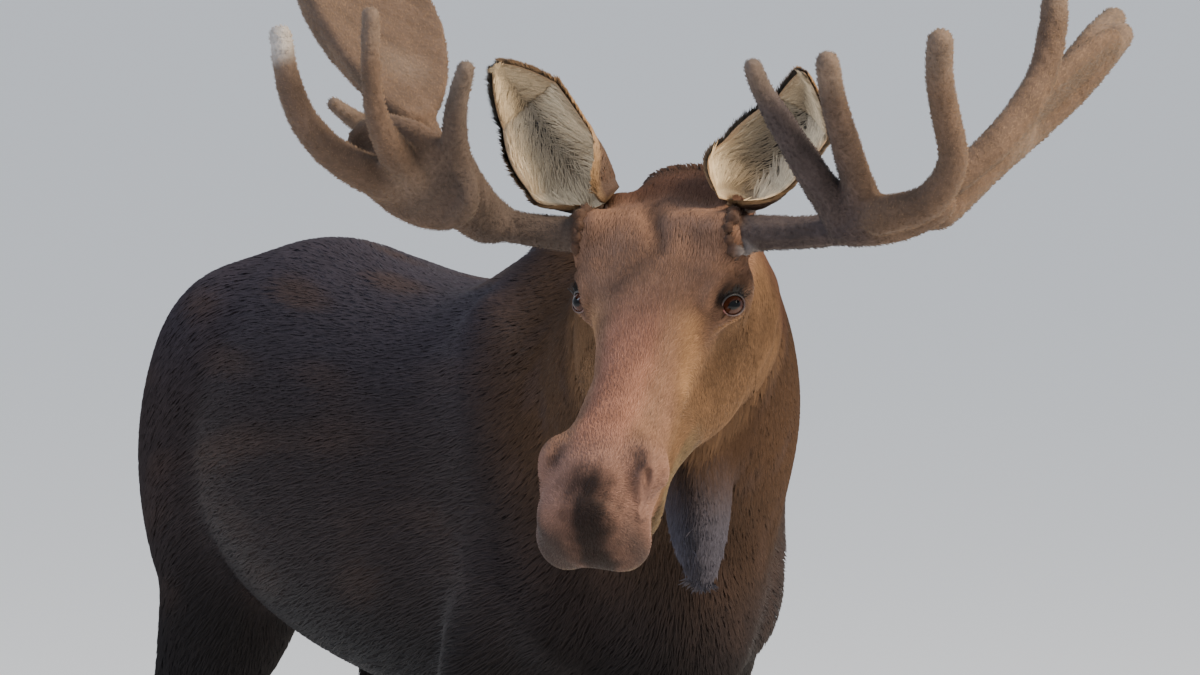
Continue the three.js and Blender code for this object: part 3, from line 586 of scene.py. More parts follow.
def face_relief(h):
    """How far the folds, lids and nostril rims stand out of the flesh, in millimetres."""
    folds = np.zeros(len(h))
    mirrored = h * (-1, 1, 1)
    for height, reach, line in PAIRED_FOLDS:
        folds += height * hill(np.minimum(trail(h, line), trail(mirrored, line)), 0, reach)
    for height, reach, line in MIDDLE_FOLDS:
        folds += height * hill(trail(h, line), 0, reach)
    folds += 4 * hill(nostril_reach(h), 13, 6)
    for gaze in GAZES.values():
        near = np.flatnonzero(np.linalg.norm(h - gaze.centre, axis=1) < 58)
        r, e, phi = gaze.polar(h[near])
        upper = ease(-0.5, 0.6, np.sin(phi))
        lids = 1.8 * hill(e, 1.24, 0.13) * (0.5 + upper)
        lids -= (1.2 + 2.2 * upper) * hill(e, 1.5 + 0.1 * upper, 0.1)
        folds[near] += (lids + 1.8 * hill(e, 1.78, 0.13)) * ease(58, 44, r)
    return folds


def head_share(points):
    """1 on the head and 0 on the body, by place in the head's frame."""
    x, y, z = HEAD.inside(points).T / MM
    return ease(285, 215, y) * ease(-290, -220, z) * ease(240, 180, np.abs(x))


def coat_depth(points):
    """The coat's depth in metres: deep on the neck, thin on the legs and thinnest on the face."""
    height = (points[:, 2] - BODY.origin[2]) / MM
    neck = ease(-60, -200, NECK.inside(points)[:, 1] / MM)
    body = (8 + 3 * neck) * ease(620, 1050, height) + 4 * ease(1050, 620, height)
    head = head_share(points)
    fine = np.zeros(len(points))
    h = HEAD.inside(points) / MM
    for gaze in GAZES.values():
        fine = np.maximum(fine, ease(90, 45, np.linalg.norm(h - gaze.centre, axis=1)))
    fine = np.maximum(fine, ease(-250, -330, h[:, 1]))
    return (body * (1 - head) + (2.8 - 1.2 * fine) * head) * MM


class Hide:
    """The value whose zero level is the skin: the flesh, sunk by the coat's depth, with the folds."""

    def __call__(self, points):
        found = flesh(points)
        h = HEAD.inside(points) / MM
        for gaze in GAZES.values():
            dish = ORBIT["reach"] - np.linalg.norm(h - gaze.centre - ORBIT["ahead"] * gaze.axes[2], axis=1)
            near = np.flatnonzero(dish > -ORBIT["blend"])
            found[near] = -Flesh.melt(-found[near], -dish[near] * MM, ORBIT["blend"] * MM)
        found += coat_depth(points)
        near = np.flatnonzero((np.abs(h[:, 0]) < 190) & (h[:, 1] < 290) & (h[:, 2] > -260))
        found[near] -= face_relief(h[near]) * MM
        return found

    def grid(self, axes):
        found = flesh.grid(axes)
        near = np.abs(found) < 0.06
        index = np.nonzero(near)
        points = np.stack([a[i] for a, i in zip(axes, index)], 1)
        found[near] += coat_depth(points)
        return found


def surface_of(field, low, high, cell):
    """The zero level of a field as points and quads, each point slid onto the level along the slope."""
    axes = [np.arange(a, b, cell) for a, b in zip(low, high)]
    grid = openvdb.FloatGrid(Flesh.FAR)
    grid.copyFromArray(np.clip(field.grid(axes), -3 * cell, 3 * cell))
    points, quads = grid.convertToQuads(isovalue=0.0)
    return slide(field, points * cell + np.array(low), 2), quads.astype(int)


def slope(field, points, step=0.001):
    """The value and the gradient of a field, by small steps along each axis."""
    here = field(points)
    ahead = [field(points + step * axis) for axis in np.eye(3)]
    return here, (np.stack(ahead, 1) - here[:, None]) / step


def slide(field, points, times):
    for _ in range(times):
        here, gradient = slope(field, points)
        size = np.maximum((gradient**2).sum(1), 0.2)
        points = points - np.clip(here / size, -0.01, 0.01)[:, None] * gradient
    return points


def halved(points, quads):
    """Each quad as two triangles, cut along its shorter diagonal."""
    a, b, c, d = quads.T
    length = np.linalg.norm(points[a] - points[c], axis=1) < np.linalg.norm(points[b] - points[d], axis=1)
    first = np.where(length, [a, b, c], [a, b, d]).T
    return np.concatenate([first, np.where(length, [a, c, d], [b, c, d]).T])


def refine(field, points, triangles, marked):
    """Halves the edges of the marked triangles, so that one with 1, 2 or 3 cut edges becomes 2, 3 or 4,
    and slides the new points onto the field's level."""
    ends = np.sort(triangles[:, [[0, 1], [1, 2], [2, 0]]], axis=2)
    keys = ends[..., 0] * len(points) + ends[..., 1]
    cut = np.unique(keys[marked])
    found = np.minimum(np.searchsorted(cut, keys), len(cut) - 1)
    is_cut = cut[found] == keys
    middle = len(points) + found
    number = is_cut.sum(1)

    def turned(chosen, start):
        order = (start[:, None] + np.arange(3)) % 3
        rows = np.arange(len(start))[:, None]
        return (*triangles[chosen][rows, order].T, *middle[chosen][rows, order].T)

    parts = [triangles[number == 0]]
    a, b, c, ab, bc, ca = turned(number == 3, np.zeros((number == 3).sum(), int))
    parts += [np.stack(t, 1) for t in ((a, ab, ca), (ab, b, bc), (ca, bc, c), (ab, bc, ca))]
    a, b, c, ab, bc, _ = turned(number == 2, np.argmin(is_cut[number == 2], 1) + 1)
    parts += [np.stack(t, 1) for t in ((ab, b, bc), (a, ab, bc), (a, bc, c))]
    a, b, c, ab, _, _ = turned(number == 1, np.argmax(is_cut[number == 1], 1))
    parts += [np.stack(t, 1) for t in ((a, ab, c), (ab, b, c))]
    new = (points[cut // len(points)] + points[cut % len(points)]) / 2
    return np.concatenate([points, slide(field, new, 2)]), np.concatenate(parts)


def eye_reach(h):
    return np.minimum(*[np.linalg.norm(h - gaze.centre, axis=1) for gaze in GAZES.values()])


# Which triangles are halved, in rounds: the head, its features, and the rims of eyes, nostrils and lips
ROUNDS = [
    lambda h: (np.abs(h[:, 0]) < 175) & (h[:, 1] < 262) & (h[:, 2] > -235),
    lambda h: (eye_reach(h) < 92) | (nostril_reach(h) < 60) | (trail(h, MOUTH) < 30)
    | ((h[:, 2] > 30) & (h[:, 1] > -60) & (h[:, 1] < 215) & (np.abs(h[:, 0]) < 120)),
    lambda h: (eye_reach(h) < 44) | (nostril_reach(h) < 24) | (trail(h, MOUTH) < 9),
]
SKIN_CELL = 0.014

hide = Hide()
low = np.append(floor_point[:2], 0) + np.array([-0.62, -1.08, 0.04])
high = np.append(floor_point[:2], 0) + np.array([0.43, 1.52, 2.02])
skin_points, quads = surface_of(hide, low, high, SKIN_CELL)
skin_faces = halved(skin_points, quads)
for marked in ROUNDS:
    centres = HEAD.inside(skin_points[skin_faces].mean(1)) / MM
    skin_points, skin_faces = refine(hide, skin_points, skin_faces, marked(centres))

# The sockets behind the lids, the pits of the nostrils and the cleft of the mouth
h = HEAD.inside(skin_points) / MM
outward = unit(slope(hide, skin_points)[1] @ HEAD.axes)
pits = 14 * ease(9, 3, nostril_reach(h)) + 9 * ease(8, 2, trail(h, MOUTH))
h -= outward * pits[:, None]
for gaze in GAZES.values():
    near = np.flatnonzero(eye_reach(h) < 40)
    r, e, phi = gaze.polar(h[near])
    lid = (r < 36) & (e < 1.07)
    near, r, e, phi = near[lid], r[lid], e[lid], phi[lid]
    behind = e < 0.93
    r = np.where(behind, EYEBALL["radius"] - 4, np.minimum(r, LID_RADIUS))
    h[near] = gaze.place(r, np.where(behind, e, 1), phi)
skin_points = HEAD.outside(h * MM)


def tints(**colours):
    """Named colours, given on the 0 to 255 scale of a screen, as linear light."""
    return {name: ((np.array(rgb) / 255 + 0.055) / 1.055) ** 2.4 for name, rgb in colours.items()}


def mottle(points, size, seed):
    """Soft patches from -1 to 1: a sum of plane waves that run in different directions."""
    rng = np.random.default_rng(seed)
    waves = unit(rng.normal(size=(9, 3))) * rng.uniform(0.6, 1.7, 9)[:, None] * 2 * math.pi / size
    return np.sin(points @ waves.T + rng.uniform(0, 6.3, 9)).sum(1) / 4.2


def under(colour, other, share):
    """A colour part of the way to another."""
    share = np.broadcast_to(np.clip(share, 0, 1), len(colour))[:, None]
    return colour + (np.asarray(other) - colour) * share


def layered(colour, coats, shares):
    """A colour with named coats laid over it in turn, each by its share."""
    for name, share in shares:
        colour = under(colour, coats[name], share)
    return colour


# Body tints. The back tint is a painted bluish sky sheen, the belly's tint is partly painted shade and the
# bell's tint is partly painted cool shade.
BODY_COATS = tints(
    flank=(44, 37, 37), streak=(62, 48, 42), back=(54, 49, 56), belly=(26, 23, 24), neck=(50, 38, 31),
    nape=(62, 45, 33), legs=(84, 74, 64), bell=(62, 60, 68),
)
# Face tints: the near-black one for pits is painted shade, and the poll, band, dark and lips tints stand
# partly for painted shade.
FACE_COATS = tints(
    face=(112, 84, 68), bridge=(124, 87, 72), cheek=(102, 77, 56), buff=(150, 114, 80),
    poll=(82, 57, 45), band=(54, 41, 35), muzzle=(120, 90, 78), dark=(28, 22, 21), lips=(56, 45, 42),
    eye=(44, 29, 22), jaw=(96, 80, 60), pit=(12, 8, 8),
)


def markings(points):
    """The coat's colour by place, for skin and hair alike, as linear red, green and blue, with painted light
    in it: a bluish sky sheen on the back, shade under the belly and on the bell, and the face's painted
    shade.
    """
    x, y, z = (points - BODY.origin).T / MM
    patches = mottle(points * (1, 0.35, 1), 0.16, 3)
    along_neck = NECK.inside(points)[:, 1] / MM
    neck = ease(-20, -220, along_neck) * ease(1150, 1400, z)
    head = head_share(points)
    # The bell is greyer and bluer than the neck: partly its own greyer hair, partly painted cool shade under
    # the jaw, fading out upwards.
    bell = ease(130, 60, trail(points / MM, bell_line / MM)) * ease(1590, 1430, z) * (1 - head)
    colour = layered(np.tile(BODY_COATS["flank"], (len(points), 1)), BODY_COATS, [
        # Painted sheen: the top of the body goes towards a lighter bluish grey, standing in for the sky's
        # reflection on the dark hair.
        ("back", 0.8 * ease(1450, 1800, z)),
        # Painted shade: the underside darkens downwards, partly the belly's darker hair and partly shade
        # beneath the body.
        ("belly", ease(1330, 1080, z)),
        ("streak", 0.7 * ease(0.1, 1.3, patches) * ease(1000, 1400, z)),
        ("neck", neck),
        ("nape", ease(-30, -250, along_neck) * ease(1290, 1560, z)),
        ("streak", 0.6 * neck * ease(0, 1.2, mottle(points, 0.11, 5))),
        ("legs", ease(840, 640, z)),
        ("bell", bell),
    ])
    return under(colour, face_markings(HEAD.inside(points) / MM, points), head)


def face_markings(h, points):
    """The face's colours: warm brown, greyer and darker in the band down the muzzle and by the eyes. The
    muzzle's band is partly darker hair and partly painted shadow; painted shade also darkens the forehead
    grooves, the poll, the lower sides of the muzzle, the folds above the nostrils, the mouth's cleft, the
    nostril pits and the lids' edges.
    """
    mirrored = h * (-1, 1, 1)
    side = np.abs(h[:, 0])

    def both(line):
        return np.minimum(trail(h, line), trail(mirrored, line))

    # The line of the muzzle's dark band, partly darker hair and partly painted shadow.
    dark = [[0, -424, 48], [3, -462, 12], [-3, -484, -36], [-4, -466, -100]]
    colour = layered(np.tile(FACE_COATS["face"], (len(h), 1)), FACE_COATS, [
        ("bridge", ease(60, 30, side) * ease(0, -140, h[:, 1]) * ease(0, 40, h[:, 2])),
        ("cheek", ease(0, -70, h[:, 2])),
        # The poll is darker: partly its own darker hair, partly painted shade behind the brow.
        ("poll", ease(120, 190, h[:, 1])),
        ("buff", 0.6 * hill(both([[74, -70, 18], [80, -140, -30]]), 0, 28)),
        ("buff", 0.6 * hill(both([[98, -98, -28], [92, -150, -52]]), 0, 28)),
        # The forehead's grooves are darkened: partly a darker band of hair, partly painted shade in the
        # grooves.
        ("band", 0.75 * hill(trail(h, MIDDLE_FOLDS[0][2]), 0, 17)),
        ("band", 0.6 * hill(trail(h, MIDDLE_FOLDS[1][2]), 0, 16)),
        ("muzzle", ease(-300, -380, h[:, 1])),
        # The lower sides of the muzzle are darker: partly the lips' own colour, partly painted shade on the
        # muzzle's underside.
        ("lips", ease(-380, -450, h[:, 1]) * ease(20, 60, side) * ease(30, -30, h[:, 2])),
        # Painted shadow mixed with darker hair down the front of the muzzle.
        ("dark", 0.96 * ease(66, 12, trail(h, dark) + 7 * mottle(points, 0.03, 21))),
        # Painted shade in the sunk fold above each nostril.
        ("dark", 0.75 * hill(both([[70, -352, 50], [74, -366, 40]]), 0, 15)),
        ("jaw", ease(-118, -132, h[:, 2]) * ease(-120, -200, h[:, 1])),
        # Painted shade along the mouth's cleft.
        ("dark", 0.8 * hill(trail(h, MOUTH), 0, 12)),
        # Painted shade: near black in the pits of the nostrils.
        ("pit", ease(11, 5, nostril_reach(h))),
    ])
    for gaze in GAZES.values():
        r, e, phi = gaze.polar(h)
        near = ease(66, 34, r)
        upper = ease(-0.2, 0.7, np.sin(phi))
        colour = layered(colour, FACE_COATS, [
            ("eye", near * (0.55 * ease(2.3, 1.2, e) * (0.35 + upper))),
            ("buff", 0.6 * near * hill(e, 1.75, 0.16) * (1 - upper)),
            # Painted shade in the socket at the lids' edge, heaviest under the upper lid.
            ("pit", near * ease(1.2, 1.02, e) * (0.35 + 0.6 * upper)),
        ])
    return colour * (1 + 0.12 * mottle(points, 0.05, 8))[:, None]


def lie(points):
    """Places in metres, drawn together fourfold along the way that the hair lies."""
    head, height = head_share(points)[:, None], (points[:, 2] - BODY.origin[2])[:, None]
    body = (points - BODY.origin) @ turn("x", -19) * (1, 0.25, 1)
    legs = ease(1.05, 0.85, height)
    body = body * (1 - legs) + (points - BODY.origin) * (1, 1, 0.25) * legs
    return body * (1 - head) + HEAD.inside(points) * (1, 0.25, 1) * head


bell_line = BODY.outside(BELL[:, :3] * MM)
skin = mesh_object("skin", skin_points, skin_faces, markings(skin_points))
strands = skin.data.attributes.new("lie", "FLOAT_VECTOR", "POINT")
strands.data.foreach_set("vector", lie(skin_points).astype(np.float32).ravel())
paint = Paint("hide")
grain = paint.node("Attribute", "Vector", {"attribute_name": "lie"})
coarse, fine = paint.noise(grain, 260, 4), paint.noise(grain, 900, 3)
colour = paint.shade(paint.tone(), coarse, [(0.25, 0.62), (0.75, 1.0)])
skin.data.materials.append(paint.done(
    Base_Color=colour, Roughness=0.62 + 0.2 * fine, Specular_IOR_Level=0.07, Sheen_Weight=0.01,
    Sheen_Roughness=0.45, Sheen_Tint=(0.75, 0.8, 1.0), Normal=paint.bump(coarse + 0.6 * fine, 0.0016),
))
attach(skin, "root")
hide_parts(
    "trunk", "neck", "head", "bell", "tail",
    *[f"{end}_leg_{s}" for end in ("fore", "hind") for s in SIDES],
)

# ---- Eyes ----
# Wet dark balls with a swollen cornea, set in the sockets. Each has a bare rim of lid, thick and dark
# above, thin and brown below and pink at the inner corner. Curved lashes stand out of the upper lid.

EYE_TINTS = tints(
    white=(92, 66, 60), ring=(20, 12, 10), iris=(62, 32, 20), pupil=(6, 6, 9), lid=(22, 17, 17),
    lower=(74, 54, 50), corner=(122, 72, 68), lash=(20, 15, 14),
)


def outside_out(points, faces):
    """Closed triangles turned outwards, told by the sign of the space inside them."""
    a, b, c = points[faces].transpose(1, 0, 2) - points.mean(0)
    return faces if (np.cross(a, b) * c).sum() > 0 else faces[:, ::-1]


def closed_grid(grid, ring=False):
    """Points and triangles from a grid of rows by columns. Columns join up. The first and last rows are
    each a single place, or with ring=True join each other."""
    rows, columns = grid.shape[:2]
    if ring:
        index = np.arange(rows * columns).reshape(rows, columns)
        points = grid.reshape(-1, 3)
        index = np.concatenate([index, index[:1]])
    else:
        points = np.concatenate([grid[:1, 0], grid[1:-1].reshape(-1, 3), grid[-1:, 0]])
        index = np.arange((rows - 2) * columns).reshape(rows - 2, columns) + 1
    after = np.roll(index, -1, 1)
    faces = [
        np.stack([index[:-1], after[:-1], after[1:]], -1).reshape(-1, 3),
        np.stack([index[:-1], after[1:], index[1:]], -1).reshape(-1, 3),
    ]
    if not ring:
        faces.append(np.stack([np.zeros(columns, int), after[0], index[0]], -1))
        faces.append(np.stack([np.full(columns, len(points) - 1), index[-1], after[-1]], -1))
    faces = np.concatenate(faces)
    return points, outside_out(points, faces)


def spines(roots, first, bend, lengths, radius, rows=6):
    """Thin closed three-sided hairs: root + length (t first + t^2 bend), and tapering as 1 - t^2."""
    t = np.linspace(0, 1, rows)[:, None, None]
    line = roots + lengths[:, None] * (t * first + t**2 * bend)
    across = unit(np.cross(first, bend + 1e-3))
    other = np.cross(first, across)
    turns = np.arange(3) * 2 * math.pi / 3
    width = (radius * (1 - t**2) + 1e-6)[..., None]
    ring = np.cos(turns)[:, None] * across[:, None] + np.sin(turns)[:, None] * other[:, None]
    tube = line[:, :, None] + width * ring
    tube[-1] = line[-1][:, None]
    count = len(roots)
    points = tube.transpose(1, 0, 2, 3).reshape(count, rows * 3, 3)
    index = np.arange(rows * 3).reshape(rows, 3)
    after = np.roll(index, -1, 1)
    faces = np.concatenate([
        np.stack([index[:-1], after[1:], after[:-1]], -1).reshape(-1, 3),
        np.stack([index[:-2], index[1:-1], after[1:-1]], -1).reshape(-1, 3),
        index[:1],
    ])
    all_faces = faces[None] + (np.arange(count) * rows * 3)[:, None, None]
    return points.reshape(-1, 3), all_faces.reshape(-1, 3)


LASHES, RIM_GRID = 90, (112, 14)  # hairs to an eye; places round the lids and round the rim's section

eyeball_paint, lid_paint, lash_paint = Paint("wet eyeball"), Paint("bare lid"), Paint("lashes")
eyeball_finish = eyeball_paint.done(Base_Color=eyeball_paint.tone(), Roughness=0.06, Specular_IOR_Level=0.2)
lid_finish = lid_paint.done(
    Base_Color=lid_paint.tone(), Roughness=0.38, Specular_IOR_Level=0.5,
    Normal=lid_paint.bump(lid_paint.noise(lid_paint.spot(), 900), 0.0004),
)
streak = lash_paint.noise(lash_paint.spot(), 300)
lash_finish = lash_paint.done(
    Base_Color=lash_paint.shade(tuple(EYE_TINTS["lash"]), streak, [(0.3, 0.7), (0.7, 1.0)]),
    Roughness=0.45,
)

for side, gaze in GAZES.items():
    theta = np.concatenate([np.linspace(0, 0.75, 44), np.linspace(0.78, math.pi, 40)])[:, None]
    phi = np.linspace(0, 2 * math.pi, 128, endpoint=False)
    radius = EYEBALL["radius"] + 1.5 * np.exp(-((theta / 0.5) ** 4))
    globe = gaze.centre + radius[..., None] * (round_way(theta, phi) @ gaze.axes)
    points, faces = closed_grid(HEAD.outside(globe * MM))
    a, b, c = (unit(HEAD.inside(points) / MM - gaze.centre) @ gaze.axes.T).T
    off = np.degrees(np.arctan2(np.hypot(a, b), c))
    streak = 0.5 + 0.5 * np.sin(31 * np.arctan2(b, a) + 4 * np.sin(7 * np.arctan2(b, a)))
    colour = layered(np.tile(EYE_TINTS["white"], (len(points), 1)), EYE_TINTS, [
        ("ring", ease(66, 58, off)),
        ("iris", ease(57, 50, off) * (0.7 + 0.3 * streak)),
        ("pupil", ease(1.15, 0.9, np.hypot(a / 0.52, b / 0.33))),
    ])
    eye = mesh_object(f"eyeball_{side}", points, faces, colour)
    eye.data.materials.append(eyeball_finish)
    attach(eye, "root")
    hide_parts(f"eye_{side}")

    phi = np.linspace(0, 2 * math.pi, RIM_GRID[0], endpoint=False)[:, None]
    turned = np.linspace(0, 2 * math.pi, RIM_GRID[1], endpoint=False)
    upper, corner = ease(-0.1, 0.6, np.sin(phi)), hill(np.arctan2(np.sin(phi), np.cos(phi)), 0, 0.42)
    thick = 1.1 + 1.1 * upper + 0.4 * corner
    wide = (1.7 + 1.8 * upper + 1.2 * corner) / LID_RADIUS
    r = LID_RADIUS - 0.6 + 0.5 * upper + thick * np.cos(turned)
    e = 1.03 + (wide * np.sin(turned) + 0.02 * upper - 0.03 * corner) / gaze.opening(phi)
    grid = gaze.place(r, e, np.broadcast_to(phi, r.shape))
    points, faces = closed_grid(HEAD.outside(grid * MM), ring=True)
    upper, corner = np.repeat(upper[:, 0], RIM_GRID[1]), np.repeat(corner[:, 0], RIM_GRID[1])
    colour = layered(np.tile(EYE_TINTS["lower"], (len(points), 1)), EYE_TINTS, [
        ("lid", upper),
        ("lid", 0.7 * np.tile(ease(-0.2, 0.9, np.sin(turned)), RIM_GRID[0])),
        ("corner", corner * (1 - 0.5 * upper)),
    ])
    rim = mesh_object(f"lid_rim_{side}", points, faces, colour)
    rim.data.materials.append(lid_finish)
    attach(rim, "root")

    rng = np.random.default_rng(21)
    phi = np.radians(np.sort(rng.uniform(28, 172, LASHES)))
    e = 1.04 + rng.uniform(-0.02, 0.05, LASHES)
    roots = gaze.place(np.full(LASHES, LID_RADIUS + 0.6), e, phi)
    d = unit(roots - gaze.centre)
    away = unit(np.cos(phi)[:, None] * gaze.axes[0] + np.sin(phi)[:, None] * gaze.axes[1])
    first = unit(d + 0.35 * away + 0.12 * rng.normal(size=(LASHES, 3)))
    lengths = 9 + 8 * ease(35, 120, np.degrees(phi)) * rng.uniform(0.75, 1.05, LASHES)
    points, faces = spines(roots, first, 0.35 * away - 0.15 * d, lengths, 0.42)
    lashes = mesh_object(f"lashes_{side}", HEAD.outside(points * MM), faces)
    lashes.data.materials.append(lash_finish)
    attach(lashes, "root")

# ---- Ears ----
# Leaves of gristle rolled at the base and open towards the tip, with a thin wall. Their backs carry short
# brown hair. Long cream hair grows inwards from the rims and leaves a dark hollow of painted shade in the
# cup.

EARS = {
    "left": {
        "base": (113, 175, 42), "tip": (235, 300, 221), "open": (-0.48, -0.76, 0.38), "bow": (8, 0, 4),
        "hollow": (0.34, 0.5),
    },
    "right": {
        "base": (-116, 171, 43), "tip": (-297, 304, 228), "open": (-0.09, -0.65, 0.75), "bow": (-26, -1, 12),
        "hollow": (0.22, 0.34),
    },
}
EAR_HALF_WIDTH, EAR_WALL = 74, 7
EAR_GRID = (64, 96)  # rows along the leaf, columns out along its back and home along its inside
# The hollow tint is painted shade for the ear's cup.
EAR_TINTS = tints(
    back=(78, 60, 47), rim=(136, 108, 78), cream=(206, 184, 152), hollow=(30, 23, 21),
    foot=(70, 52, 42),
)


def ear_place(side, u, lap, out):
    """A place on an ear: u along it, lap from rim to rim, and how far out of the middle of its wall. The
    section is an arc of radius width / sin(roll), whose roll opens towards the tip."""
    ear = {key: np.array(value, float) for key, value in EARS[side].items()}
    length = np.linalg.norm(ear["tip"] - ear["base"])
    axis = unit(ear["tip"] - ear["base"])
    front = unit(ear["open"] - axis * (ear["open"] @ axis))
    across = np.cross(front, axis)
    u, lap, out = (a[..., None] for a in np.broadcast_arrays(u, lap, out))
    width = EAR_HALF_WIDTH * np.sin(math.pi * (0.1 + 0.9 * u) ** 0.8) ** 0.75 + 1
    width = width * (0.72 + 0.28 * ease(0, 0.25, u))
    roll = np.radians(105 - 67 * np.minimum(1, u * 1.6) + 62 * ease(0.3, 0.02, u))
    radius = width / np.sin(np.minimum(roll, math.pi / 2)) + out
    around = (2 * lap - 1) * roll
    place = ear["base"] + axis * length * u + ear["bow"] * np.sin(math.pi * u)
    place = place + across * radius * np.sin(around) + front * (width * 0.5 - radius * np.cos(around))
    return HEAD.outside(place * MM)


def ear_colours(side, u, lap, inside):
    """Brown backs, and insides of cream with a dark hollow of painted shade in the cup, which spreads across
    and along the leaf.
    """
    wide, long = EARS[side]["hollow"]
    # Painted shade: the cream inside darkens towards a near-black hollow in the ear's cup, spread differently
    # on each ear.
    hollow = 1.1 * np.exp(-(((lap - 0.56) / wide) ** 2) - ((u - 0.42) / long) ** 2)
    inner = under(np.tile(EAR_TINTS["cream"], (len(u), 1)), EAR_TINTS["hollow"], hollow)
    colour = under(np.tile(EAR_TINTS["back"], (len(u), 1)), EAR_TINTS["foot"], ease(0.3, 0.05, u))
    colour = under(colour, inner, inside)
    return under(colour, EAR_TINTS["rim"], 0.8 * ease(0.09, 0.02, np.minimum(lap, 1 - lap)))


ear_paint = Paint("ear hide")
grain = ear_paint.noise(ear_paint.spot(), 420, 4)
ear_finish = ear_paint.done(
    Base_Color=ear_paint.shade(ear_paint.tone(), grain, [(0.3, 0.65), (0.7, 1.0)]),
    Roughness=0.6 + 0.25 * grain, Specular_IOR_Level=0.3, Normal=ear_paint.bump(grain, 0.001),
    Subsurface_Weight=0.06, Subsurface_Radius=(0.02, 0.01, 0.006),
)
for side in SIDES:
    rows, columns = EAR_GRID
    u = np.linspace(0.0, 1.0, rows)[:, None] * np.ones(columns)
    half = columns // 2
    column = np.arange(columns)
    lap = np.where(column < half, column / half, 2 - column / half) * np.ones((rows, 1))
    wall = np.sin(math.pi * lap) ** 0.5 * EAR_WALL / 2 * np.where(column < half, 1, -1)
    grid = ear_place(side, u, lap, wall)
    grid[0], grid[-1] = grid[0].mean(0), grid[-1].mean(0)
    points, faces = closed_grid(grid)
    flat_u, flat_lap = (np.concatenate([a[:1, 0], a[1:-1].ravel(), a[-1:, 0]]) for a in (u, lap))
    inside = np.concatenate([[0], np.tile(np.where(column > half, 1.0, 0.0), rows - 2), [0]])
    ear = mesh_object(f"ear_{side}_leaf", points, faces, ear_colours(side, flat_u, flat_lap, inside))
    ear.data.materials.append(ear_finish)
    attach(ear, "root")
    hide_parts(f"ear_{side}")

# ---- Antlers ----
# Growing bone in velvet: a beam from the burr, a small brow palm with tines in front and a great palm
# behind. Round limbs and flat plates melt into each other, told in the head's frame with x outward.

ANTLERS = {
    "left": {
        "beam": [
            [106, 95, 52, 42], [125, 96, 54, 36], [171, 99, 56, 32], [243, 102, 56, 29], [348, 108, 68, 31],
        ],
        "brow_leaf": {
            "centre": [411, 94, 103], "long": [0.95, 0.28, 0.11], "normal": [0.17, -0.82, 0.54],
            "length": 105, "width": 40, "thick": 24, "cup": 0, "taper": 0,
        },
        "brow_tines": [
            [
                [326, 89, 96, 34], [297, 104, 180, 30], [277, 114, 253, 26],
                [255, 127, 329, 22], [241, 139, 380, 18.5], [237, 146, 410, 17],
            ],
            [
                [365, 94, 105, 34], [359, 114, 199, 28], [358, 124, 277, 25.5],
                [360, 131, 350, 23.5], [370, 137, 432, 21.5],
            ],
            [
                [395, 76, 131, 34], [476, 89, 150, 31], [525, 120, 206, 27],
                [527, 154, 294, 26], [530, 173, 363, 25], [540, 195, 417, 24],
            ],
        ],
        "palm_leaf": {
            "centre": [536, 389, -1], "long": [0.33, 0.9, -0.27], "normal": [-0.73, 0.43, 0.53],
            "length": 262, "width": 112, "thick": 19, "cup": 0.6, "taper": 0.1,
        },
        "palm_tines": [
            [[382, 122, 64, 35], [445, 172, 46, 36], [488, 270, 15, 33], [529, 376, -15, 26]],
            [
                [506, 149, 136, 26], [552, 218, 134, 29], [582, 312, 121, 29],
                [598, 384, 123, 27], [611, 439, 161, 26], [618, 502, 222, 22],
            ],
            [
                [456, 159, 44, 30], [484, 275, 1, 28], [512, 364, -37, 27],
                [543, 451, -64, 27], [579, 537, -81, 27], [626, 643, -80, 25],
            ],
            [[578, 552, -41, 25], [593, 646, -76, 25], [600, 692, -97, 24]],
        ],
    },
    "right": {
        "beam": [
            [106, 88, 54, 42], [126, 89, 56, 36], [172, 89, 60, 31], [238, 87, 74, 30], [308, 84, 102, 32],
        ],
        "brow_leaf": {
            "centre": [374, 70, 231], "long": [0.8, -0.04, 0.6], "normal": [0.08, -0.78, 0.62],
            "length": 128, "width": 84, "thick": 23, "cup": 0, "taper": 0,
        },
        "brow_tines": [
            [[289, 84, 96, 40], [375, 72, 221, 38]],
            [
                [285, 86, 100, 33], [295, 82, 180, 32], [294, 83, 261, 26],
                [278, 101, 337, 21], [249, 139, 406, 17],
            ],
            [
                [353, 73, 180, 34], [383, 59, 288, 30], [391, 61, 357, 23],
                [393, 100, 436, 19], [393, 169, 500, 18],
            ],
            [
                [383, 68, 190, 36], [442, 44, 261, 34], [489, 45, 316, 30],
                [521, 64, 360, 27], [544, 100, 401, 24], [564, 167, 452, 21],
            ],
        ],
        "palm_leaf": {
            "centre": [563, 435, 173], "long": [0.48, 0.85, -0.12], "normal": [-0.49, 0.43, 0.68],
            "length": 300, "width": 128, "thick": 18, "cup": 1, "taper": 0.2,
        },
        "palm_tines": [
            [[316, 94, 118, 35], [365, 133, 151, 42], [423, 208, 170, 38], [493, 313, 172, 24]],
            [[447, 182, 206, 22], [487, 173, 227, 20], [530, 180, 269, 15]],
            [
                [449, 222, 207, 24], [532, 292, 229, 27], [607, 372, 234, 27],
                [672, 474, 236, 27], [728, 586, 259, 22],
            ],
            [[646, 588, 179, 26], [699, 681, 176, 26], [740, 759, 182, 22]],
            [[585, 631, 105, 26], [627, 719, 99, 25], [654, 787, 100, 21]],
        ],
    },
}
VELVET_CELL, VELVET_BLEND, VELVET_DEPTH = 0.0055, 16, 3.5
BURR_KNOBS = {"count": 13, "middle": (131, 92, 56), "ring": 40, "sizes": (10, 15)}
SCAB = [[150, 66, 50, 12], [144, 58, 60, 10], [152, 76, 42, 9]]
WHITE_END = (572, 160, 456)  # the tip of the right antler's outermost tine
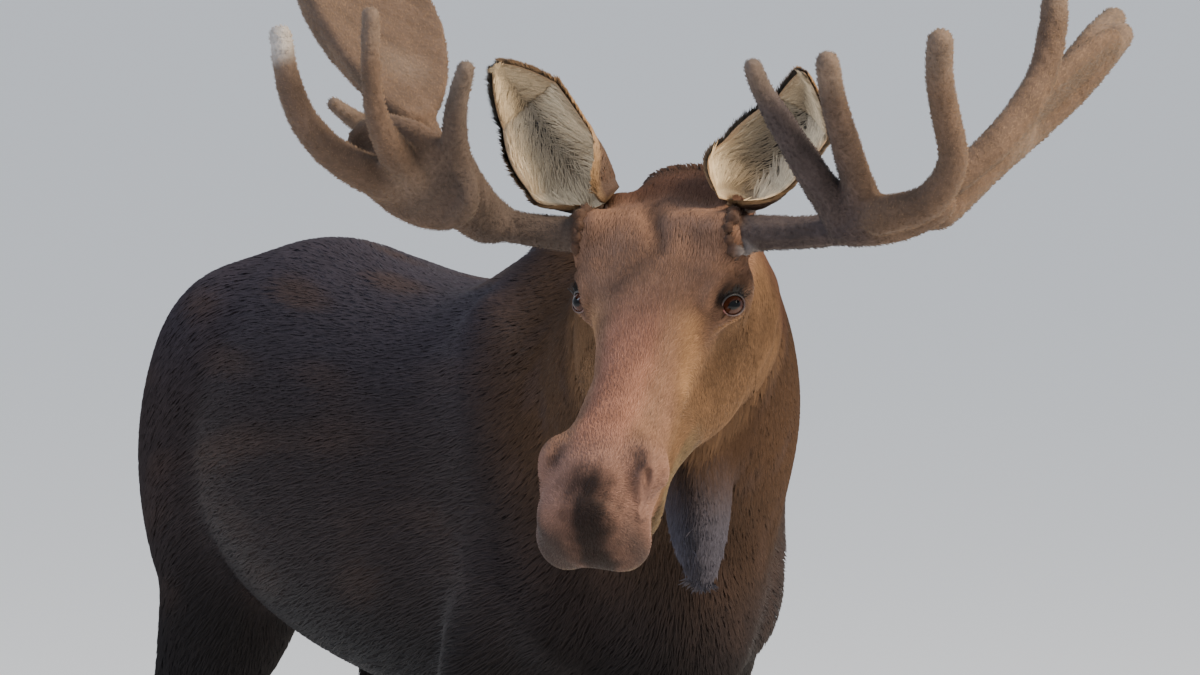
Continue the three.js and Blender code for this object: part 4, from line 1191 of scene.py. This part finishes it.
# Velvet tints. The beam tint is painted shade near the head, the left antler's cool tint is painted cool
# shade, and the rim tint is partly a painted sunlit glow.
VELVET = tints(
    plain=(86, 68, 56), beam=(68, 57, 51), tip=(110, 95, 84), rim=(136, 112, 88), cold=(56, 48, 50),
    scab=(104, 98, 98), white=(216, 212, 208), knob=(66, 44, 31),
)


def plate(leaf):
    """A flat leaf of bone: an ellipse of half length and width, as thick as twice t, with round rims and
    its sides lifted by cup times the square of the way across."""
    normal = unit(leaf["normal"])
    long = unit(np.array(leaf["long"]) - normal * (np.array(leaf["long"]) @ normal))
    axes = np.stack([long, np.cross(normal, long), normal], 1)
    middle, t = np.array(leaf["centre"]) * MM, leaf["thick"] * MM
    length, width = leaf["length"] * MM, leaf["width"] * MM
    reach = length + 0.04

    def value(p):
        x, y, z = ((p - middle) @ axes).T
        wide = width * np.clip(1 + leaf["taper"] * x / length, 0.2, 2)
        k0 = np.hypot(x / length, y / wide) + 1e-9
        k1 = np.hypot(x / length**2, y / wide**2) + 1e-9
        edge = k0 * (k0 - 1) / k1
        return np.hypot(np.maximum(edge + t, 0), z - leaf["cup"] * y**2) - t

    return value, middle - reach, middle + reach


class Velvet(Flesh):
    """One antler's masses, sunk by the velvet's depth, with shallow grooves along the beam."""

    def __call__(self, points):
        h = HEAD.inside(points) / MM
        out = np.sign(h[:, 0].mean()) * h[:, 0]
        round_beam = np.arctan2(h[:, 2] - 58, h[:, 1] - 95)
        groove = np.sin(7 * round_beam + 1.2 * np.sin(out / 40)) * ease(150, 190, out) * ease(330, 270, out)
        return super().__call__(points) + (VELVET_DEPTH + groove + 0.8 * mottle(points, 0.03, 12)) * MM

    def grid(self, axes):
        return super().grid(axes) + VELVET_DEPTH * MM


velvet_paint = Paint("velvet")
place = velvet_paint.spot()
coarse, fine = velvet_paint.noise(place, 120, 5), velvet_paint.noise(place, 700, 3)
tone = velvet_paint.shade(velvet_paint.tone(), coarse, [(0.3, 0.68), (0.7, 1.0)])
velvet_finish = velvet_paint.done(
    Base_Color=velvet_paint.shade(tone, fine, [(0.3, 0.8), (0.65, 1.0)]), Roughness=0.7 + 0.2 * fine,
    Specular_IOR_Level=0.2, Sheen_Weight=0.06, Sheen_Roughness=0.4, Sheen_Tint=(1.0, 0.85, 0.65),
    Normal=velvet_paint.bump(coarse + 0.5 * fine, 0.002),
)


def antler_colours(side, points):
    """Velvet by place: a dark beam whose darkness is painted shade, mid-brown palms, greyer tips, knobs, a
    scab and one tine's white end. The left antler also carries painted cool shade near the head and along its
    first tine.
    """
    table = ANTLERS[side]
    h = HEAD.inside(points) / MM * (SIDES[side], 1, 1)
    # Painted shade: the beam darkens towards the head.
    shares = [("beam", 0.9 * ease(360, 250, h[:, 0]))]
    if side == "left":
        first_tine = np.array(table["brow_tines"][0])[:, :3]
        shares += [
            # Painted cool shade on the left antler: its inner part and its first tine.
            ("cold", 0.7 * ease(420, 300, h[:, 0])),
            ("cold", 0.6 * ease(80, 40, trail(h, first_tine))),
            ("scab", 0.8 * ease(24, 12, trail(h, np.array(SCAB)[:, :3]))),
        ]
    else:
        shares.append(("white", 0.85 * ease(58, 14, np.linalg.norm(h - WHITE_END, axis=1))))
    shares.append(("knob", 0.8 * ease(150, 138, h[:, 0])))
    for rows in table["brow_tines"] + table["palm_tines"]:
        reach = np.linalg.norm(h - np.array(rows[-1][:3]), axis=1)
        shares.append(("tip", 0.5 * ease(90, 20, reach) * ease(90, 110, h[:, 0])))
    colour = layered(np.tile(VELVET["plain"], (len(h), 1)), VELVET, shares)
    return colour * (1 + 0.14 * mottle(points, 0.06, 15))[:, None]


antlers = {}
for side, s in SIDES.items():
    bone = Velvet()
    table = ANTLERS[side]
    outer = Place(HEAD.origin, HEAD.axes * (s, 1, 1))
    bone.add(limb(table["beam"]), 4, outer)
    for leaf, tines in (("brow_leaf", "brow_tines"), ("palm_leaf", "palm_tines")):
        bone.add(plate(table[leaf]), VELVET_BLEND, outer)
        for rows in table[tines]:
            bone.add(limb(rows), VELVET_BLEND, outer)
    rng = np.random.default_rng(31)
    turns = np.arange(BURR_KNOBS["count"]) * 2 * math.pi / BURR_KNOBS["count"]
    for angle in turns:
        ring = BURR_KNOBS["ring"] + rng.uniform(-2, 3)
        away = rng.uniform(-5, 5), ring * math.cos(angle), ring * math.sin(angle)
        middle = np.array(BURR_KNOBS["middle"]) + away
        bone.add(ball(middle, [rng.uniform(*BURR_KNOBS["sizes"])] * 3), 5, outer)
    if side == "left":
        for x, y, z, radius in SCAB:
            bone.add(ball([x, y, z], [radius] * 3), 5, outer)
    corners = outer.outside(np.concatenate([box_corners(low, high) for _, low, high, _, _ in bone.masses]))
    points, quads = surface_of(bone, corners.min(0), corners.max(0), VELVET_CELL)
    antler = mesh_object(f"antler_{side}", points, halved(points, quads), antler_colours(side, points))
    antler.data.materials.append(velvet_finish)
    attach(antler, "root")
    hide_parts(*[f"antler_{side}_{part}" for part in ("beam", "brow", "palm")])
    antlers[side] = antler

# ---- Hooves ----
# Cloven hooves of dark horn: on each foot two claws with a flat sole, growth rings and a sloping toe, and
# two small dewclaws behind and above them.

HOOF = {"length": 136, "width": 52, "height": 70, "cleft": 3, "ahead": 36, "lean": 0.36, "point": 0.42}
DEWCLAW = [[20, 34, 128, 15], [27, 54, 92, 12], [29, 60, 76, 6]]
HORN = tints(
    foot=(34, 29, 27), top=(60, 52, 46),
)


def claw_grid(x, y, outward, rows=26, columns=56):
    """A claw: a straight inner wall and a bowed outer one, narrowed at the toe by point times the square
    of the way forward, and shortened upwards by the lean. Growth rings stand out in waves."""
    t = np.linspace(0, 1, rows)[:, None]
    height = np.clip((t - 0.12) / 0.76, 0, 1)
    radius = np.minimum(1, np.minimum(t / 0.12, (1 - t) / 0.12))
    radius = radius * (1 + 0.008 * np.sin(height * 44) * np.sin(math.pi * height))
    angle = np.linspace(0, 2 * math.pi, columns, endpoint=False)
    out, back = radius * np.cos(angle), radius * np.sin(angle)
    toe = 1 - HOOF["point"] * np.maximum(0, -back) ** 2
    across = HOOF["width"] * (0.5 + 0.5 * np.sign(out) * np.abs(out) ** 0.7) * toe
    length = (HOOF["length"] / 2) * (1 - HOOF["lean"] * height)
    middle = y - HOOF["ahead"] + HOOF["length"] * 0.25 * height
    tall = np.broadcast_to(height * HOOF["height"], out.shape)
    return np.stack([x + outward * (HOOF["cleft"] + across), middle + length * back, tall], -1)


def dewclaw_grid(x, y, outward, rows=18, columns=20):
    """A blunt cone along a short curve, its ends closed over as sqrt(1 - (distance / radius)^2)."""
    line = path([[x + outward * out, y + back, z, r] for out, back, z, r in DEWCLAW], rows) / MM
    t = np.linspace(0, 1, rows)
    cap = math.prod(
        np.sqrt(np.clip(1 - np.clip(1 - way, 0, 1) ** 2, 0, 1)) for way in (t / 0.16, (1 - t) / 0.1)
    )
    angle = np.linspace(0, 2 * math.pi, columns, endpoint=False)
    radius = (line[:, 3] * cap)[:, None]
    return np.stack([
        line[:, :1] + radius * np.cos(angle), line[:, 1:2] + radius * np.sin(angle),
        line[:, 2:3] + 0.3 * radius * np.sin(angle),
    ], -1)


horn_paint = Paint("horn")
place = horn_paint.spot()
upright = horn_paint.node("Mapping", 0, None, {"Vector": place, "Scale": (1, 1, 0.2)})
fibre, worn = horn_paint.noise(upright, 240, 4), horn_paint.noise(place, 60, 4)
tone = horn_paint.shade(horn_paint.tone(), worn, [(0.3, 0.7), (0.7, 1.0)])
horn_finish = horn_paint.done(
    Base_Color=tone, Roughness=0.38 + 0.3 * worn, Specular_IOR_Level=0.45,
    Normal=horn_paint.bump(fibre, 0.0006),
)
for side, s in SIDES.items():
    for end, rows, step in (("fore", FORE_LEG, FORE_STEP), ("hind", HIND_LEG, HIND_STEP)):
        x, y = stepped(rows, side, step[side])[-1][:2]
        grids = [grid(x, y, out) for out in (s, -s) for grid in (claw_grid, dewclaw_grid)]
        meshes = [closed_grid(BODY.outside(grid * MM)) for grid in grids]
        starts = np.cumsum([0] + [len(points) for points, _ in meshes])
        points = np.concatenate([points for points, _ in meshes])
        faces = np.concatenate([faces + start for (_, faces), start in zip(meshes, starts)])
        height = (points[:, 2] - BODY.origin[2]) / MM / HOOF["height"]
        colour = under(np.tile(HORN["foot"], (len(points), 1)), HORN["top"], height - 0.3)
        foot = mesh_object(f"{end}_foot_{side}", points, faces, colour)
        foot.data.materials.append(horn_finish)
        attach(foot, "root")
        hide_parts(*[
            f"{kind}_{end}_{side}_{claw}" for kind in ("hoof", "dewclaw") for claw in ("outer", "inner")
        ])

# ---- Coat ----
# Short summer hair over hide, ears and velvet. Each tuft is a thin closed blade that lies along the way of
# the hair, overlaps the next one, and ends at the coat's depth. It is smallest on the face and the feet.

TUFT_CORNERS = np.array([[0, 2, 3], [0, 3, 1], [0, 1, 2], [4, 3, 2], [4, 1, 3], [4, 2, 1]])
TUFT_TONES = np.array([0.9, 0.97, 0.97, 1.02, 1.1])  # root, left, right, top and tip
TUFT_PATCH = 0.003 * np.array([[0.5, 0], [0, 0.35], [1, 0.35], [0.5, 0.35], [0.5, 1]])


def vertex_normals(piece):
    found = np.empty(len(piece.data.vertices) * 3, np.float32)
    piece.data.vertex_normals.foreach_get("vector", found)
    return found.reshape(-1, 3).astype(float)


def scatter(rng, points, faces, normals, weight, count):
    """Places spread evenly over triangles, one in each equal share of their weighted area, with normals."""
    a, b, c = points[faces].transpose(1, 0, 2)
    total = np.cumsum(np.linalg.norm(np.cross(b - a, c - a), axis=1) * weight)
    pick = np.searchsorted(total, (np.arange(count) + rng.random(count)) / count * total[-1])
    pick = np.minimum(pick, len(faces) - 1)
    u, v = rng.random((2, count))
    u, v = np.where(u + v > 1, 1 - u, u), np.where(u + v > 1, 1 - v, v)
    share = np.stack([1 - u - v, u, v], 1)[..., None]
    return (points[faces[pick]] * share).sum(1), unit((normals[faces[pick]] * share).sum(1)), pick


def flat_way(way, normals, rng, stray):
    """Directions laid flat on the surface and turned by a stray angle, with those to their left."""
    way = unit(way - normals * (way * normals).sum(1, keepdims=True))
    left = np.cross(normals, way)
    angle = (stray * rng.normal(size=len(way)))[:, None]
    way = way * np.cos(angle) + left * np.sin(angle)
    return way, np.cross(normals, way)


def tufts(name, finish, rng, roots, normals, way, left, size, colour, unwrap, level=None):
    """Blades from root to tip: size holds length, width and height in millimetres. The tip is brought to
    its height over the level, and normals lean from the skin's own towards the blade's sides."""
    length, width, height = (np.broadcast_to(v, len(roots))[:, None] * MM for v in size)
    length = length * rng.uniform(0.75, 1.25, (len(roots), 1))
    middle = roots + 0.35 * length * way + 0.12 * height * normals
    tip = roots + length * way + height * normals
    if level is not None:
        tip -= np.clip(level(tip)[:, None] - height, -0.006, 0.006) * normals
    blades = np.stack([
        roots - 0.0006 * normals, middle + 0.5 * width * left, middle - 0.5 * width * left,
        middle + 0.55 * height * normals, tip,
    ], 1)
    tone = (1 + 0.13 * rng.normal(size=(len(roots), 1))) * TUFT_TONES
    colour = np.clip(colour[:, None] * tone[..., None], 0.002, 0.95)
    faces = (TUFT_CORNERS + 5 * np.arange(len(roots))[:, None, None]).reshape(-1, 3)
    piece = mesh_object(name, blades.reshape(-1, 3), faces, colour.reshape(-1, 3))
    places = (np.clip(unwrap, 0.002, 0.994)[:, None] + TUFT_PATCH)[:, TUFT_CORNERS].reshape(-1, 2)
    piece.data.uv_layers.new(name="OFBake").uv.foreach_set("vector", places.astype(np.float32).ravel())
    lean = np.array([0, 0.6, -0.6, 0, 0])[:, None] * left[:, None] + normals[:, None]
    bent = piece.data.attributes.new("custom_normal", "FLOAT_VECTOR", "POINT")
    bent.data.foreach_set("vector", unit(lean).astype(np.float32).ravel())
    piece.data.materials.append(finish)
    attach(piece, "root")


def hair_finish(name, roughness, shine, sheen, sheen_tint):
    paint = Paint(name)
    streak = paint.noise(paint.spot(), 500, 2)
    return paint.done(
        Base_Color=paint.shade(paint.tone(), streak, [(0.3, 0.8), (0.7, 1.0)]), Roughness=roughness,
        Specular_IOR_Level=shine, Sheen_Weight=sheen, Sheen_Roughness=0.4, Sheen_Tint=sheen_tint,
    )


def hair_way(points):
    """The way that the hair lies: back and down on the body, down on the legs and the bell, up the face
    towards the poll, and straight down on the cheeks."""
    x, y, z = (points - BODY.origin).T / MM
    way = np.tile((0.0, 1.0, -0.35), (len(points), 1))
    way = under(way, (0.0, 0.3, -1.0), ease(850, 1250, y))
    way = under(way, neck_back + (0, 0, -0.9), ease(-20, -220, NECK.inside(points)[:, 1] / MM))
    way = under(way, (0.0, 0.1, -1.0), ease(1050, 850, z))
    way = under(way, (0.0, 0.1, -1.0), ease(130, 90, trail(points / MM, bell_line / MM)))
    h = HEAD.inside(points) / MM
    face = np.tile(HEAD.axes[:, 1], (len(points), 1))
    face = under(face, -HEAD.axes[:, 2] + 0.3 * HEAD.axes[:, 1], ease(-280, -500, h[:, 1]))
    face = under(face, (0, 0, -1), ease(20, -80, h[:, 2]) * ease(-230, -80, h[:, 1]))
    return under(way, face, head_share(points))


def round_unwrap(x, z, y, low, high):
    """An unwrap of a surface round a spine: the angle round it, and how far along it."""
    return np.stack([np.arctan2(x, z) / (2 * math.pi) + 0.5, (y - low) / (high - low)], 1)


skin_normals = vertex_normals(skin)
centres = skin_points[skin_faces].mean(1)
body_mm, head_mm = (centres - BODY.origin) / MM, HEAD.inside(centres) / MM
on_head = head_share(centres) > 0.5
on_bell = ~on_head & (trail(centres / MM, bell_line / MM) < 95) & (body_mm[:, 2] < 1700)
on_leg = ~on_head & ~on_bell & (body_mm[:, 2] < 960)
on_neck = ~on_head & ~on_bell & ~on_leg & (NECK.inside(centres)[:, 1] < -0.03)
on_trunk = ~on_head & ~on_bell & ~on_leg & ~on_neck
bare = (nostril_reach(head_mm) < 13) | (trail(head_mm, MOUTH) < 7)
for gaze in GAZES.values():
    r, e, _ = gaze.polar(head_mm)
    bare |= (r < 40) & (e < 1.2)

# Pieces of coat: [name, triangles, how many, length, width, height, stray, unwrap's frame, its reach]
BARREL = Place(BODY.at(0, 0, 1380), np.eye(3))
on_left = body_mm[:, 0] > 0
COATS = [
    ["coat_trunk_left", on_trunk & on_left, 26000, 38, 3.2, 5.5, 0.12, BARREL, (-0.4, 1.5)],
    ["coat_trunk_right", on_trunk & ~on_left, 26000, 38, 3.2, 5.5, 0.12, BARREL, (-0.4, 1.5)],
    ["coat_neck", on_neck, 30000, 30, 2.8, 9, 0.17, NECK, (-0.75, 0.1)],
    ["coat_face", on_head & (head_mm[:, 1] < 30) & ~bare, 32000, 9, 1.5, 2.2, 0.25, HEAD, (-0.52, 0.3)],
    ["coat_cheeks", on_head & (head_mm[:, 1] >= 30) & ~bare, 28000, 14, 1.9, 3.2, 0.22, HEAD, (-0.52, 0.3)],
    ["coat_bell", on_bell, 9000, 42, 2.4, 15, 0.2, Place(bell_line[0], turn("x", -90)), (-0.1, 0.6)],
]
for end, y_low, y_high in (("fore", -400, 600), ("hind", 600, 1700)):
    for side, s in SIDES.items():
        chosen = on_leg & (s * body_mm[:, 0] > 0) & (body_mm[:, 1] > y_low) & (body_mm[:, 1] < y_high)
        down_leg = Place(BODY.at(s * 190, {"fore": 0, "hind": 1270}[end], 0), turn("x", 90))
        COATS.append([f"coat_{end}_leg_{side}", chosen, 9000, 17, 2.6, 4, 0.15, down_leg, (0, 1.0)])

coat_finish = hair_finish("summer hair", 0.5, 0.07, 0.006, (0.75, 0.85, 1.0))
face_finish = hair_finish("short face hair", 0.55, 0.12, 0.01, (1.0, 0.9, 0.8))
for number, (name, chosen, count, length, width, height, stray, place, (start, stop)) in enumerate(COATS):
    rng = np.random.default_rng(100 + number)
    faces = skin_faces[chosen]
    h = head_mm[chosen]
    weight = np.ones(len(faces))
    if name == "coat_face":
        weight = 1 + 1.2 * ease(120, 60, eye_reach(h)) + 0.8 * ease(-340, -400, h[:, 1])
    roots, normals, pick = scatter(rng, skin_points, faces, skin_normals, weight, count)
    way, left = flat_way(hair_way(roots), normals, rng, stray)
    if name == "coat_face":
        length = length - 3 * ease(110, 50, eye_reach(h[pick])) - 3 * ease(-300, -400, h[pick][:, 1])
    if name == "coat_cheeks":
        length = length + 8 * ease(-60, -160, h[pick][:, 2])
    x, y, z = place.inside(roots).T
    unwrap = round_unwrap(x, z, y if start < 0 else np.abs(y), start, stop)
    finish = face_finish if name in ("coat_face", "coat_cheeks") else coat_finish
    size, colour = (length, width, height), markings(roots)
    tufts(name, finish, rng, roots, normals, way, left, size, colour, unwrap, hide)

ear_hair = hair_finish("ear hair", 0.55, 0.2, 0.02, (1.0, 0.95, 0.9))
EAR_HAIR = [["back", 5200, 13, 2.0, 3.0], ["rim", 2600, 15, 1.4, 5.0], ["inside", 3600, 34, 1.5, 7.0]]
for side in SIDES:
    for kind, count, length, width, height in EAR_HAIR:
        rng = np.random.default_rng({"back": 41, "rim": 42, "inside": 43}[kind] + (side == "left") * 5)
        u = rng.uniform(0.05, 0.97, count)
        lap = rng.uniform(0.03, 0.97, count)
        if kind == "rim":
            lap = np.where(rng.random(count) < 0.5, rng.uniform(0, 0.05, count), rng.uniform(0.95, 1, count))
        if kind == "inside":
            u, lap = u**1.15, 0.5 + 0.5 * np.sign(lap - 0.5) * np.abs(2 * lap - 1) ** 0.6 * 0.98
        half = np.sin(math.pi * np.clip(lap, 0, 1)) ** 0.5 * EAR_WALL / 2
        half = -half if kind == "inside" else half
        roots = ear_place(side, u, lap, half)
        along_u = ear_place(side, u + 0.01, lap, half) - roots
        along_lap = ear_place(side, u, lap + 0.005, half) - roots
        normals = unit(np.cross(along_u, along_lap))
        outer = ear_place(side, u, lap, half + 1.0) - roots
        normals *= np.sign((normals * outer).sum(1, keepdims=True)) * (-1 if kind == "inside" else 1)
        inwards = unit(along_lap) * np.sign(0.5 - lap)[:, None]
        way = unit(along_u) + {"back": 0.0, "rim": -0.5, "inside": 0.55}[kind] * inwards
        way, left = flat_way(way, normals, rng, 0.2)
        inside = np.full(count, float(kind == "inside"))
        colour = ear_colours(side, u, lap, inside)
        if kind == "inside":
            colour = under(colour, EAR_TINTS["cream"], 0.35)
            length = length * (1.15 - 0.6 * u)
        unwrap = np.stack([(lap if kind == "inside" else 2 - lap) / 2, u], 1)
        name, size = f"ear_{kind}_hair_{side}", (length, width, height)
        tufts(name, ear_hair, rng, roots, normals, way, left, size, colour, unwrap)

velvet_hair = hair_finish("velvet fuzz", 0.6, 0.12, 0.03, (1.0, 0.9, 0.78))
FUZZ = {"count": 20000, "length": 4.4, "width": 1.4, "height": 2.6}
for side, s in SIDES.items():
    rng = np.random.default_rng(61 + s)
    antler = antlers[side]
    points = np.empty(len(antler.data.vertices) * 3, np.float32)
    antler.data.vertices.foreach_get("co", points)
    points = points.reshape(-1, 3).astype(float)
    faces = np.empty(len(antler.data.polygons) * 3, np.int32)
    antler.data.polygons.foreach_get("vertices", faces)
    faces = faces.reshape(-1, 3)
    even = np.ones(len(faces))
    roots, normals, _ = scatter(rng, points, faces, vertex_normals(antler), even, FUZZ["count"])
    away = HEAD.axes[:, 1] * 0.6 + s * HEAD.axes[:, 0] * 0.6 + HEAD.axes[:, 2] * 0.5
    way, left = flat_way(np.tile(away, (len(roots), 1)), normals, rng, 0.6)
    h = HEAD.inside(roots) / MM
    out = s * h[:, 0]
    # The outer palms' fuzz goes towards gold: partly lighter velvet, partly a painted sunlit glow.
    colour = under(antler_colours(side, roots), VELVET["rim"], 0.22 * ease(300, 420, out))
    beneath = normals @ HEAD.axes[:, 2] < 0
    unwrap = np.stack([0.48 * out / 800 + 0.5 * beneath, (h[:, 1] + 80) / 920], 1)
    size = FUZZ["length"], FUZZ["width"], FUZZ["height"]
    tufts(f"velvet_fuzz_{side}", velvet_hair, rng, roots, normals, way, left, size, colour, unwrap)
